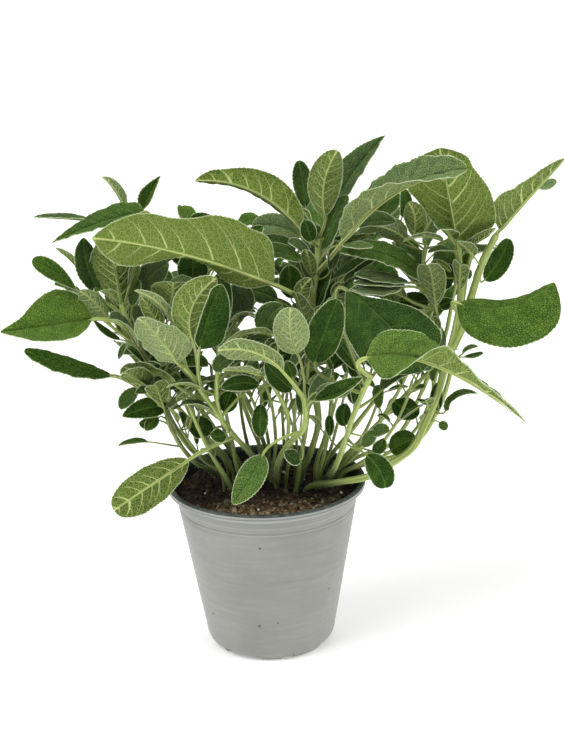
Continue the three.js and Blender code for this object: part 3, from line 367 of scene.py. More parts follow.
# Thin young shoots: radius, and places from the soil up
SHOOTS = [
    (1.3, [[-3, 2, 110], [-4, 0, 129], [-4, -2, 146], [-8, -4, 159]]),
    (1.2, [[1, 6, 107], [2, 6, 123], [0, 4, 140], [-1, 2, 155], [-4, 0, 164]]),
    (1.3, [[3, -2, 107], [6, -2, 123], [6, -4, 140], [4, -8, 157], [0, -12, 172]]),
    (1.2, [[8, 4, 105], [11, 4, 121], [11, 2, 137], [11, 0, 154], [14, -2, 167]]),
    (1.3, [[12, -6, 106], [15, -8, 122], [17, -12, 139], [19, -14, 155], [22, -16, 174]]),
    (1.2, [[18, 10, 105], [19, 10, 121], [18, 8, 139], [16, 6, 157]]),
    (1.3, [[31, -10, 107], [34, -14, 120], [37, -18, 134], [40, -22, 151], [44, -26, 167]]),
    (1.2, [[34, 4, 107], [39, 6, 118], [43, 8, 131], [47, 8, 147], [50, 6, 160]]),
    (1.3, [[42, 10, 103], [53, 12, 116], [62, 14, 129], [69, 16, 145], [75, 16, 160]]),
    (1.3, [[42, 18, 101], [57, 22, 114], [72, 28, 129], [81, 30, 144], [89, 30, 162]]),
    (1.4, [[46, 0, 105], [63, -4, 118], [76, -6, 135], [84, -8, 152], [88, -10, 167]]),
    (1.5, [[47, 8, 104], [72, 4, 115], [91, 2, 132], [99, 0, 150], [104, 2, 168]]),
    (1.3, [[-16, 12, 108], [-23, 12, 125], [-27, 10, 142], [-30, 8, 159], [-31, 6, 175]]),
    (1.2, [[-21, 2, 111], [-30, -2, 124], [-39, -8, 139], [-42, -12, 155]]),
    (1.3, [[-25, 16, 109], [-37, 18, 123], [-46, 18, 141], [-52, 16, 159]]),
    (1.2, [[-27, -8, 111], [-36, -12, 120], [-43, -16, 132], [-49, -18, 143]]),
    (1.3, [[-9, 22, 106], [-13, 26, 126], [-15, 28, 145], [-15, 28, 165]]),
    (1.8, [[40, 6, 101], [60, 8, 108], [81, 10, 113], [94, 8, 124], [104, 6, 141], [111, 4, 162],
           [114, 2, 184], [118, 0, 206], [121, 0, 228], [125, 0, 245]]),
    (1.6, [[43, 16, 101], [58, 20, 109], [75, 22, 114], [86, 20, 128], [95, 18, 148], [103, 16, 168],
           [110, 14, 187], [114, 12, 209], [117, 8, 230], [118, 3, 245]]),
    (1.7, [[18, -13, 102], [21, -12, 121], [25, -14, 144], [26, -16, 167], [27, -14, 188], [27, -12, 208]]),
    (1.7, [[29, -6, 102], [31, -6, 117], [37, -10, 137], [40, -14, 157], [39, -14, 176], [38, -12, 197],
           [40, -11, 215]]),
    (1.6, [[38, 6, 102], [50, 6, 111], [62, 4, 125], [72, 2, 142], [82, 2, 159], [90, 4, 175]]),
    (1.5, [[-20, -18, 102], [-24, -26, 116], [-31, -30, 131], [-37, -34, 147], [-43, -34, 164]]),
    (1.5, [[-14, -8, 102], [-18, -8, 118], [-20, -6, 133], [-23, -6, 151], [-24, -6, 170]]),
]

# Side veins: how they slant and arch, and their spacing as a share of the blade's length, with its least
# and most in millimetres
VEIN_SLANT = 0.4
VEIN_ARCH = 0.7
VEIN_SHARE = 0.135
VEIN_LEAST = 2.8
VEIN_MOST = 14.0


def catmull(points, shares):
    """Places on the smooth course through the points, as the solids have them."""
    points = np.asarray(points, float)
    padded = np.vstack([2 * points[0] - points[1], points, 2 * points[-1] - points[-2]])
    last = len(points) - 1
    along = np.clip(np.atleast_1d(shares), 0, 1) * last
    first = np.minimum(along.astype(int), last - 1)
    t = (along - first)[:, None]
    a, b, c, d = (padded[first + k] for k in range(4))
    square, cube = 2 * a - 5 * b + 4 * c - d, 3 * b - a - 3 * c + d
    return 0.5 * (2 * b + (c - a) * t + square * t ** 2 + cube * t ** 3)


def unit(v):
    return v / np.maximum(np.linalg.norm(v, axis=-1, keepdims=True), 1e-12)


def bezier(start, bend, end, t):
    """Places on the bow from start to end."""
    t = np.atleast_1d(t)[:, None]
    return (1 - t) ** 2 * start + 2 * t * (1 - t) * bend + t ** 2 * end


def bezier_way(start, bend, end, t):
    """Directions along the bow from start to end."""
    t = np.atleast_1d(t)[:, None]
    return unit((1 - t) * (bend - start) + t * (end - bend))


def turned(v, axis, angle):
    """Rows of v turned about rows of axis by angle, where they are at right angles."""
    angle = np.atleast_1d(angle)[:, None]
    return v * np.cos(angle) + np.cross(axis, v) * np.sin(angle)


def value_at(values, share):
    """A number, or the course through a list of numbers at even places from base to tip."""
    if not isinstance(values, (list, tuple)):
        return np.full(len(share), float(values))
    if len(values) == 2:
        return values[0] + (values[1] - values[0]) * share
    return catmull(np.array(values, float)[:, None], share)[:, 0]


def rounded(share, reach):
    """Rises from nothing to one over the reach, along a quarter of a circle."""
    return np.sqrt(1 - (1 - np.clip(share / reach, 0, 1)) ** 2)


class Leaf:
    """One leaf, with the course of its midrib and the frame along it."""

    def __init__(self, root, base, middle, tip, half_width, faces,
                 fold=10, twist=0, at_base=0.6, at_tip=0.6, edges=None):
        self.root, self.base, self.tip = (np.asarray(p, float) for p in (root, base, tip))
        self.bend = 2 * np.asarray(middle, float) - 0.5 * self.base - 0.5 * self.tip
        self.half_width = half_width
        self.faces = unit(np.asarray(faces, float))
        self.twist = twist if isinstance(twist, list) else [0, twist]
        self.folds = fold if isinstance(fold, tuple) else (fold, fold)
        self.at_base, self.at_tip, self.edges = at_base, at_tip, edges
        steps = bezier(self.base, self.bend, self.tip, np.linspace(0, 1, MIDRIB_STEPS))
        self.length = np.linalg.norm(np.diff(steps, axis=0), axis=1).sum()

    def at(self, share):
        """Places, directions, upper-side normals and sideways directions along the midrib."""
        share = np.atleast_1d(share)
        place = bezier(self.base, self.bend, self.tip, share)
        way = bezier_way(self.base, self.bend, self.tip, share)
        up = unit(self.faces - (way @ self.faces)[:, None] * way)
        up = turned(up, way, np.radians(value_at(self.twist, share)))
        return place, way, up, np.cross(way, up)

    def reach(self, half, share):
        """How far the blade reaches from the midrib, on its left half (0) or right half (1)."""
        if self.edges:
            width = np.maximum(value_at(self.edges[half], share), LEAST_WIDTH)
            return width * rounded(share, ROUND_BASE) * rounded(1 - share, ROUND_TIP)
        peak = self.at_base / (self.at_base + self.at_tip)
        most = peak ** self.at_base * (1 - peak) ** self.at_tip
        return self.half_width * share ** self.at_base * (1 - share) ** self.at_tip / most

    def petiole(self, share):
        reach = np.linalg.norm(self.base - self.root)
        start = bezier_way(self.base, self.bend, self.tip, 0.0)[0]
        return bezier(self.root, self.base - start * reach * ROOT_SHARE, self.base, share)

    def marks(self):
        """A few points on the midrib and the edges, to tell what the leaf would touch."""
        share = np.linspace(0.08, 1, 7)
        place, _, _, side = self.at(share)
        out = self.half_width * np.sin(np.pi * np.minimum(share, 0.95))[:, None] * side * 0.85
        return np.concatenate([place, place - out, place + out])


def add_object(name, data):
    """A new object in the scene."""
    made = bpy.data.objects.new(name, data)
    bpy.context.scene.collection.objects.link(made)
    return made


class Skin:
    """Collects the points and faces of one piece, with what its materials need at each point."""

    def __init__(self):
        self.points, self.faces, self.slots = [], [], []
        self.layers = {"across": [], "veins": [], "tint": []}
        self.count = 0

    def add(self, points, faces, slot, **layers):
        """Adds points and faces. A layer has a row of three numbers for each point, or one row for all."""
        self.points.append(points)
        self.faces.append(np.asarray(faces) + self.count)
        self.slots.append(np.zeros(len(faces), int) + slot)
        for name, rows in self.layers.items():
            rows.append(np.broadcast_to(np.asarray(layers.get(name, 0), float), (len(points), 3)))
        self.count += len(points)

    def piece(self, name, materials):
        mesh = bpy.data.meshes.new(name)
        points = np.vstack(self.points) * MM
        faces = np.vstack(self.faces)
        mesh.vertices.add(len(points))
        mesh.vertices.foreach_set("co", points.ravel())
        mesh.loops.add(faces.size)
        mesh.loops.foreach_set("vertex_index", faces.ravel())
        mesh.polygons.add(len(faces))
        mesh.polygons.foreach_set("loop_start", np.arange(0, faces.size, 4))
        mesh.polygons.foreach_set("material_index", np.concatenate(self.slots).astype(np.int32))
        mesh.polygons.foreach_set("use_smooth", np.ones(len(faces), bool))
        for label, rows in self.layers.items():
            layer = mesh.attributes.new(label, "FLOAT_VECTOR", "POINT")
            layer.data.foreach_set("vector", np.vstack(rows).ravel())
        for material in materials:
            mesh.materials.append(material)
        mesh.update(calc_edges=True)
        mesh.validate()
        return add_object(name, mesh)


def grid_faces(rows, columns, flipped=False, closed=False):
    """Faces of a grid of points, row by row; closed joins the last column to the first."""
    across = columns if closed else columns - 1
    i, j = np.meshgrid(np.arange(rows - 1), np.arange(across), indexing="ij")
    a = (i * columns + j).ravel()
    b = (i * columns + (j + 1) % columns).ravel()
    faces = np.stack([a, b, b + columns, a + columns], axis=1)
    return faces[:, ::-1] if flipped else faces


def tube(skin, places, radii, sides, slot, tint, squareness=0.0):
    """A round or squarish tube along the places, closed at both ends by a narrow last ring."""
    ways = unit(np.gradient(places, axis=0))
    lead = np.array([0.31, 0.17, 0.93]) if abs(ways[0][2]) < 0.9 else np.array([1.0, 0.2, 0.1])
    ups = [unit(lead - (lead @ ways[0]) * ways[0])]
    for way in ways[1:]:
        ups.append(unit(ups[-1] - (ups[-1] @ way) * way))
    ups = np.array(ups)
    outs = np.cross(ways, ups)
    angle = np.linspace(0, 2 * np.pi, sides, endpoint=False)
    swell = 1 + squareness * np.cos(4 * angle)
    ring = ups[:, None] * (np.cos(angle) * swell)[:, None] + outs[:, None] * (np.sin(angle) * swell)[:, None]
    ring = np.pad(ring, ((1, 1), (0, 0), (0, 0)), "edge")
    places = np.pad(places, ((1, 1), (0, 0)), "edge")
    radii = np.pad(radii, 1, constant_values=END_RADIUS)
    points = (places[:, None] + ring * radii[:, None, None]).reshape(-1, 3)
    along = np.append(0, np.cumsum(np.linalg.norm(np.diff(places, axis=0), axis=1)))[:, None]
    marks = np.stack(np.broadcast_arrays(along, np.cos(4 * angle), 4 * np.sin(angle)), axis=-1)
    faces = grid_faces(len(places), sides, flipped=True, closed=True)
    skin.add(points, faces, slot, across=marks.reshape(-1, 3), tint=tint)


UPPER, UNDER, MARGIN, STALK = range(4)


def wave(distance, lengths, draw):
    """A run of waves along an edge, of a drawn length and start."""
    return np.sin(2 * np.pi * distance / draw.uniform(*lengths) + draw.uniform(0, 6.3))


def half_surface(leaf, half, share, columns, spacing, draw, fine):
    """One half of the blade: its points, distance across, distance to the edge, and side veins.
    Waves, teeth and puffs fade out at both ends, and teeth follow the length of the edge itself. The fold
    bends the blade up from the midrib, and side veins arch towards the tip with puffs between them."""
    place, _, up, side = leaf.at(share)
    sign = 1 if half else -1
    width = leaf.reach(half, share)[:, None]
    distance = (share * leaf.length)[:, None]
    fold = np.radians(value_at(leaf.folds[half], share))[:, None]
    a = columns[None, :]
    ends = np.clip(np.minimum(share / FADE_BASE, (1 - share) / FADE_TIP), 0, 1)[:, None]
    ripple = wave(distance, LONG_WAVES, draw) + 0.5 * wave(distance, SHORT_WAVES, draw)
    ripple = ripple * ends * np.minimum(1, width / WAVED_WIDTH) * draw.uniform(*WAVE_HEIGHTS)
    steps = np.hypot(np.diff(width[:, 0]), np.diff(distance[:, 0]))
    edge = np.concatenate([[0], np.cumsum(steps)])[:, None]
    tooth = (np.abs(np.sin(np.pi * edge / TOOTH_PITCH + draw.uniform(0, 3))) - 0.6) * ends * TOOTH_DEPTH
    room = width + (tooth * np.clip((a - 0.8) / 0.2, 0, 1) if fine else 0 * a)
    out = a * (1 - a) * np.cos(fold * 0.4) + a ** 2 * np.cos(fold)
    rise = a * (1 - a) * np.sin(fold * 0.4) + a ** 2 * np.sin(fold)
    lift = rise * room + CAMBER * width * np.sin(np.pi * a) + ripple * a ** 2.2
    grid = place[:, None] + side[:, None] * (sign * out * room)[..., None] + up[:, None] * lift[..., None]
    run = (distance - width * (VEIN_SLANT * a + VEIN_ARCH * a ** 2)) / spacing
    warp = 0.17 * np.sin(1.7 * run + draw.uniform(0, 6.3)) + 0.08 * np.sin(4.1 * run + draw.uniform(0, 6.3))
    phase = run + (warp + draw.uniform(0, 1)) * (a > 0)
    off = np.abs((phase + 0.5) % 1 - 0.5)
    puff = (1 - np.exp(-(off / 0.17) ** 2)) * np.clip(a / 0.12, 0, 1) * rounded(1 - a, 0.25) * ends
    normal = unit(np.cross(np.gradient(grid, axis=1) * sign, np.gradient(grid, axis=0)))
    grid = grid + normal * (puff * PUFF * spacing)[..., None]
    across = sign * a * width
    return grid, across, width - np.abs(across), phase


def add_leaf(skin, leaf, seed, tone, frost=None, fine=None):
    """Blade with both faces and its edge, and the petiole that runs on as the midrib."""
    draw = np.random.default_rng(seed)
    if fine is None:
        fine = leaf.length > FINE_LENGTH and leaf.half_width > FINE_HALF_WIDTH
    rows = max(8, int(leaf.length / (ROW_SPACING if fine else COARSE_SPACING)))
    even = np.linspace(0, 1, rows)
    share = 0.004 + 0.992 * (even * 0.5 + 0.25 * (1 - np.cos(np.pi * even)))
    spacing = float(np.clip(leaf.length * VEIN_SHARE, VEIN_LEAST, VEIN_MOST))
    columns = WIDE_COLUMNS if fine else NARROW_COLUMNS
    sides = [half_surface(leaf, half, share, columns, spacing, draw, fine) for half in (0, 1)]
    grid, across, edge_off, phase = (np.concatenate([l[:, :0:-1], r], axis=1) for l, r in zip(*sides))
    rows, columns = across.shape
    normal = unit(np.cross(np.gradient(grid, axis=1), np.gradient(grid, axis=0)))
    edgeness = np.abs(across) / np.maximum(np.abs(across) + edge_off, 1e-6)
    thick = BLADE_HALF + (EDGE_HALF - BLADE_HALF) * edgeness ** 4
    groove = GROOVE_DEPTH * np.exp(-(across / GROOVE_WIDTH) ** 2)
    groove = groove * np.clip(leaf.half_width / GROOVED_HALF_WIDTH, 0, 1)
    upper = (grid + normal * (thick - groove)[..., None]).reshape(-1, 3)
    under = (grid - normal * thick[..., None]).reshape(-1, 3)
    distance = share[:, None] * leaf.length * np.ones(columns) + seed % PATCHES * PATCH_LENGTH
    places = np.stack([distance, across, edge_off], axis=-1).reshape(-1, 3)
    veins = np.stack([phase, np.full(phase.shape, spacing), edgeness], axis=-1).reshape(-1, 3)
    if frost is None:
        frost = draw.uniform(0, 1) ** 2 * MOST_FROST
    looks = [draw.uniform(0, 1), tone, frost]
    layers = {"across": places, "veins": veins, "tint": looks}
    skin.add(upper, grid_faces(rows, columns), UPPER, **layers)
    skin.add(under, grid_faces(rows, columns, flipped=True), UNDER, **layers)
    add_edge(skin, upper, under, rows, columns, looks)
    add_petiole(skin, leaf, looks)


def add_edge(skin, upper, under, rows, columns, looks):
    """The thin edge that joins both faces, all the way round the blade."""
    loop = [(i, 0) for i in range(rows)] + [(rows - 1, j) for j in range(1, columns)]
    loop += [(i, columns - 1) for i in range(rows - 2, -1, -1)] + [(0, j) for j in range(columns - 2, 0, -1)]
    loop = np.array(loop) @ [columns, 1]
    edge = np.stack([upper[loop], under[loop]], axis=1).reshape(-1, 3)
    a = 2 * np.arange(len(loop))
    b = np.roll(a, -1)
    faces = np.stack([a, a + 1, b + 1, b], axis=1)
    skin.add(edge, faces, MARGIN, tint=looks)


def add_petiole(skin, leaf, looks):
    """The petiole from the stalk to the blade, which runs on under the blade as its midrib."""
    reach = np.linalg.norm(leaf.base - leaf.root)
    thick = np.clip(leaf.length * PETIOLE_SHARE, THIN_PETIOLE, THICK_PETIOLE)
    steps = max(3, int(reach / PETIOLE_STEP))
    stalk = leaf.petiole(np.linspace(0, 1, steps, endpoint=False))
    share = np.linspace(0, RIB_END, max(8, int(leaf.length / RIB_STEP)))
    place, _, up, _ = leaf.at(share)
    radius = thick * (1 - share) ** 0.9 * 0.78 + 0.1
    rib = place - up * (radius * np.clip(0.2 + share / 0.08, 0.2, 1.0) + RIB_DEPTH)[:, None]
    radii = np.concatenate([thick * np.linspace(1.2, 0.95, steps), radius])
    sides = 8 if leaf.length > LONG_LEAF else 6
    tube(skin, np.concatenate([stalk, rib]), radii, sides, STALK, (looks[0], looks[1], 0.7))


def add_stalk(skin, radius, points, seed, top=0.8, hairs=0):
    """A squarish, slightly uneven stalk that thins towards its top, with spreading hairs."""
    share = np.linspace(0, 1, len(points) * RINGS_PER_POINT)
    places = catmull(points, share)
    draw = np.random.default_rng(seed)
    wobble = 1 + 0.05 * np.sin(share * 37 + draw.uniform(0, 6)) + 0.05 * np.sin(share * 61)
    foot = np.clip(STALK_FOOT + share / STALK_RISE, 0, 1)
    radii = radius * foot * (1 - (1 - top) * share) * wobble
    looks = (draw.uniform(0, 1), draw.uniform(0, 1), 0.0)
    tube(skin, places, radii, STALK_SIDES, STALK, looks, STALK_CORNERS)
    if hairs:
        add_hairs(skin, places, radii, draw, hairs)


def add_hairs(skin, places, radii, draw, per_length):
    """Fine pale hairs that stand off a stalk, each one thin flat blade."""
    length = np.linalg.norm(np.diff(places, axis=0), axis=1).sum()
    count = int(length * per_length)
    at = draw.uniform(0.12, 1, count) * (len(places) - 1)
    near = np.minimum(at.astype(int), len(places) - 2)
    centre = places[near] + (places[near + 1] - places[near]) * (at - near)[:, None]
    way = unit(places[near + 1] - places[near])
    out = draw.standard_normal((count, 3))
    out = unit(out - (out * way).sum(1)[:, None] * way)
    root = centre + out * (radii[near] * 0.9)[:, None]
    reach = draw.uniform(0.5, 1.5, count)[:, None]
    tip = root + (out + way * draw.uniform(-0.3, 0.6, (count, 1))) * reach
    side = np.cross(out, way) * HAIR_WIDTH
    points = np.stack([root - side, root + side, tip + side * 0.2, tip - side * 0.2], axis=1)
    faces = np.arange(4 * count).reshape(-1, 4)
    skin.add(points.reshape(-1, 3), faces, MARGIN, tint=(0.8, 0.5, 0.5))


def draws(seed):
    """The same draws in the same order as the solids had."""
    state = [seed]

    def draw(low, high):
        state[0] = (state[0] * DRAW_FACTOR + DRAW_STEP) % DRAW_RANGE
        return low + (high - low) * (state[0] / DRAW_RANGE)
    return draw


def paired_leaves(points, draw):
    """The pairs of leaves up a stem at the back, but for those that would come forward."""
    leaves = []
    first_turn = draw(0, 180)
    for pair, place in enumerate(PAIR_PLACES):
        for opposite in (0, 180):
            turn = first_turn + pair * PAIR_TURN + opposite + draw(-TURN_SPREAD, TURN_SPREAD)
            turn = math.radians(turn)
            length = PAIR_LENGTHS[pair] * draw(0.85, 1.15)
            rise = math.radians(draw(*PAIR_RISES))
            droop = length * draw(*PAIR_DROOPS)
            out = np.array([math.cos(turn), math.sin(turn), 0.0])
            root = catmull(points, place)[0]
            base = root + out * PETIOLE_OUT + np.array([0, 0, PETIOLE_UP])
            way = out * math.cos(rise) + np.array([0, 0, math.sin(rise)])
            middle = base + way * length / 2
            tip = base + way * length * 0.94 - np.array([0, 0, droop])
            half_width = length * draw(*PAIR_WIDTHS)
            fold = draw(*PAIR_FOLDS)
            faces = [-out[0] * 0.6, -out[1] * 0.6, 1]
            leaves.append(Leaf(root, base, middle, tip, half_width, faces, fold, draw(-20, 20), 0.55, 0.65))
    return [leaf for leaf in leaves if leaf.tip[1] > FRONT_LIMIT]


def solid_points(node):
    """The corners of a node's solid, in millimetres."""
    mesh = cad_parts[node].data
    points = np.empty(len(mesh.vertices) * 3)
    mesh.vertices.foreach_get("co", points)
    return points.reshape(-1, 3) / MM


# Where the solids have a corner near each leaf's tip: share of the length, height over the midrib and how
# close counts as the same
LAST_CORNER = 0.985
SOLID_BLADE_HALF = 0.55
SAME_PLACE = 0.1


def stands_in(leaf, points):
    """True where the solid has this leaf, told by a corner on its upper side near its tip."""
    place, _, up, _ = leaf.at(LAST_CORNER)
    mark = place[0] + up[0] * SOLID_BLADE_HALF
    return np.min(np.linalg.norm(points - mark, axis=1)) < SAME_PLACE


class Value:
    """What a material works out at each point. Sums with it and patterns along it become nodes."""

    def __init__(self, shader, socket):
        self.shader, self.socket = shader, socket

    def math(self, operation, *others):
        return self.shader.math(operation, self, *others)

    def __add__(self, other):
        return self.math("ADD", other)

    def __sub__(self, other):
        return self.math("SUBTRACT", other)

    def __rsub__(self, other):
        return self.shader.math("SUBTRACT", other, self)

    def __mul__(self, other):
        return self.math("MULTIPLY", other)

    def __truediv__(self, other):
        return self.math("DIVIDE", other)

    def __abs__(self):
        return self.math("ABSOLUTE")

    def most(self, other):
        return self.math("MAXIMUM", other)

    def step(self, low, high, to_low=0.0, to_high=1.0):
        """Goes smoothly between two numbers while the value goes from low to high."""
        inputs = {"Value": self, "From Min": low, "From Max": high, "To Min": to_low, "To Max": to_high}
        return self.shader.node("MapRange", inputs, interpolation_type="SMOOTHSTEP")

    def parts(self):
        return [Value(self.shader, part) for part in self.shader.make("SeparateXYZ", {0: self}).outputs]

    def scaled(self, x, y, z):
        return self.shader.node("Mapping", {"Vector": self, "Scale": (x, y, z)})

    def noise(self, scale, detail=3.0, roughness=0.55):
        inputs = {"Vector": self, "Scale": scale, "Detail": detail, "Roughness": roughness}
        return self.shader.node("TexNoise", inputs, "Fac")

    def cells(self, scale):
        """How far each point is from the border of its cell, in a flat pattern of cells."""
        settings = {"feature": "DISTANCE_TO_EDGE", "voronoi_dimensions": "2D"}
        return self.shader.node("TexVoronoi", {"Vector": self, "Scale": scale}, "Distance", **settings)

    def wander(self, scale, amount):
        """The vector pushed about by noise, so that a pattern along it grows uneven."""
        node = self.shader.node
        push = node("TexNoise", {"Vector": self, "Scale": scale, "Detail": 2.0}, "Color")
        push = node("VectorMath", {0: push, 1: (0.5, 0.5, 0.5)}, operation="SUBTRACT")
        push = node("VectorMath", {0: push, "Scale": amount}, operation="SCALE")
        return node("VectorMath", {0: self, 1: push}, operation="ADD")


class Shader:
    """Short names for building one material's nodes."""

    def __init__(self, name):
        self.material = bpy.data.materials.new(name)
        self.material.use_nodes = True
        self.nodes = self.material.node_tree.nodes
        self.links = self.material.node_tree.links
        self.nodes.clear()
        self.surface = self.nodes.new("ShaderNodeBsdfPrincipled")
        output = self.nodes.new("ShaderNodeOutputMaterial")
        self.links.new(self.surface.outputs[0], output.inputs["Surface"])

    def make(self, kind, inputs, **settings):
        made = self.nodes.new("ShaderNode" + kind)
        for key, value in settings.items():
            setattr(made, key, value)
        for key, value in inputs.items():
            self.put(made.inputs[key], value)
        return made

    def node(self, kind, inputs, output=0, **settings):
        return Value(self, self.make(kind, inputs, **settings).outputs[output])

    def put(self, socket, value):
        if isinstance(value, Value):
            self.links.new(value.socket, socket)
        else:
            socket.default_value = value

    def math(self, operation, a, b=0.0):
        return self.node("Math", {0: a, 1: b}, operation=operation)

    def mix(self, factor, a, b):
        a, b = ((*colour, 1) if isinstance(colour, tuple) else colour for colour in (a, b))
        return self.node("Mix", {0: factor, 6: a, 7: b}, 2, data_type="RGBA")

    def layers(self, colour, *coats):
        """A colour under coats of other colours, each as dense as its mask."""
        for mask, coat in coats:
            colour = self.mix(mask, colour, coat)
        return colour

    def attribute(self, name):
        """A vector kept at each point of the mesh, and its three parts."""
        vector = self.node("Attribute", {}, "Vector", attribute_name=name)
        return vector, *vector.parts()

    def place(self):
        return self.node("TexCoord", {}, "Object")

    def finish(self, bumps=None, depth=0.0, **inputs):
        """Sets the surface, with bumps of some depth in metres, and gives the finished material."""
        for key, value in inputs.items():
            self.put(self.surface.inputs[key.replace("_", " ")], value)
        if bumps:
            bump = self.node("Bump", {"Height": bumps, "Distance": depth, "Strength": 1.0})
            self.put(self.surface.inputs["Normal"], bump)
        return self.material


# Colours of the blades from the oldest to the youngest, as linear red, green and blue
UPPERS = ((0.018, 0.064, 0.003), (0.074, 0.172, 0.011), (0.175, 0.310, 0.027))
UNDERS = ((0.056, 0.116, 0.010), (0.112, 0.195, 0.018), (0.185, 0.290, 0.034))
UPPER_VEIN = (0.200, 0.310, 0.070)
# The upper side's felt colour doubles as a painted highlight on the pebble tops.
UPPER_FELT_HIGHLIGHT = (0.170, 0.285, 0.075)
UNDER_VEIN = (0.580, 0.670, 0.250)
FROST = (0.400, 0.500, 0.285)
HOAR = (0.600, 0.700, 0.420)
FRINGE = (0.600, 0.690, 0.420)
# Painted shade for a blade's hollows: grooves on the upper side, cells between raised veins below
HOLLOW_SHADE = (0.010, 0.030, 0.003)

# How fine the meshes of the leaf net are, per millimetre, and how wide their lines
UPPER_MESH = (0.85, 0.24)
UNDER_MESH = (0.75, 0.18)


def vein_masks(blade, phase, spacing, across, edge_off, outness, mesh):
    """Side veins and midrib, the net between them and its fine meshes, each from 0 to 1."""
    around = (phase + 0.5).math("FRACT") - 0.5
    fork = outness.step(0.3, 0.95, 0.0, 0.46)
    wide = spacing.step(2.0, 12.0, 0.36, 0.75) * outness.step(0.0, 0.9, 1.2, 0.35)
    lateral = (abs(around) * spacing / wide).step(0.25, 1.0, 1.0, 0.0)
    branch = (abs(around + fork) * spacing / wide).step(0.15, 0.7, 0.55, 0.0)
    lateral = lateral.most(branch) * edge_off.step(0.2, 2.0)
    rib = abs(across).step(0.25, 0.75, 1.0, 0.0)
    warped = blade.wander(0.35, 1.6)
    net = warped.cells(0.34).step(0.02, 0.11, 1.0, 0.0)
    fineness, width = mesh
    meshes = warped.wander(1.1, 0.9).cells(fineness).step(0.02, width, 1.0, 0.0)
    return lateral.most(rib), rib, net, meshes


def by_age(shader, age, colours):
    """A blade's colour from its age, through three colours."""
    old, grown, young = colours
    return shader.layers(old, (age.step(0.0, 0.5), grown), (age.step(0.5, 1.0), young))


def blade_material(name, mesh, face):
    """One side of a sage blade: arched side veins, a fine net between them, and pale felt."""
    shader = Shader(name)
    blade, _, across, edge_off = shader.attribute("across")
    _, phase, spacing, outness = shader.attribute("veins")
    _, hue, tone, frost = shader.attribute("tint")
    masks = vein_masks(blade, phase, spacing, across, edge_off, outness, mesh)
    age = hue * 0.12 + tone + blade.noise(0.11).step(0.3, 0.7, -0.16, 0.16)
    felt = blade.noise(1.7, 3.0, 0.75)
    colour, height = face(shader, age, frost, felt, *masks)
    colour = shader.mix(edge_off.step(0.1, 0.7, 0.92, 0.0), colour, FRINGE)
    return shader.finish(height, 0.00055, Base_Color=colour, Roughness=0.62, Specular_IOR_Level=0.06,
                         Sheen_Weight=0.012, Sheen_Roughness=0.45, Sheen_Tint=(0.85, 0.95, 0.7, 1),
                         Subsurface_Weight=0.2, Subsurface_Radius=(0.5, 1.0, 0.12), Subsurface_Scale=0.0008)


def upper_face(shader, age, frost, felt, veins, rib, net, mesh):
    """The pebbled upper side, with sunken veins, painted shade in its grooves, and pale felt on the
    pebbles that is partly a painted highlight.
    """
    pebble = 1.0 - mesh
    # Pale felt on the pebble tops, partly a painted highlight where the domes catch the light.
    felt_and_highlight = pebble * felt.step(0.35, 0.65) * age.step(0.0, 0.6, 0.34, 0.6)
    # Painted shade darkens the grooves between the pebbles and along the net.
    colour = shader.layers(by_age(shader, age, UPPERS), (mesh * 0.66, HOLLOW_SHADE), (felt_and_highlight, UPPER_FELT_HIGHLIGHT),
                           (net * 0.3, HOLLOW_SHADE), (rib * 0.22 + veins * 0.16, UPPER_VEIN),
                           (frost * (pebble * 0.35 + 0.2), FROST))
    return colour, pebble * 0.6 - veins * 0.9 - net * 0.4 + felt * 0.25


def under_face(shader, age, frost, felt, veins, _, net, mesh):
    """The paler underside, where the veins and their net stand out."""
    small = (net * 0.85).most(mesh * 0.8) * felt.step(0.25, 0.6, 0.55, 1.05)
    colour = by_age(shader, age, UNDERS)
    # Painted shade darkens the cells between the raised veins.
    dark = shader.layers(colour, (0.26, HOLLOW_SHADE), (frost * 0.27, FROST))
    pale = shader.layers(colour, (0.46, UNDER_VEIN), (frost * 0.6, HOAR))
    line = shader.mix(frost * 0.4, UNDER_VEIN, HOAR)
    return shader.layers(dark, (small, pale), (veins * 0.88, line)), veins.most(small * 0.7) + felt * 0.25


def margin_material():
    """The pale hairy edge of a blade, and the hairs of the stalks."""
    shader = Shader("sage_margin")
    _, hue, _, _ = shader.attribute("tint")
    colour = shader.mix(hue, (0.46, 0.55, 0.29), (0.62, 0.69, 0.44))
    return shader.finish(shader.place().noise(2600.0, 1.0), 0.0002, Base_Color=colour, Roughness=0.8,
                         Specular_IOR_Level=0.15, Sheen_Weight=0.1)


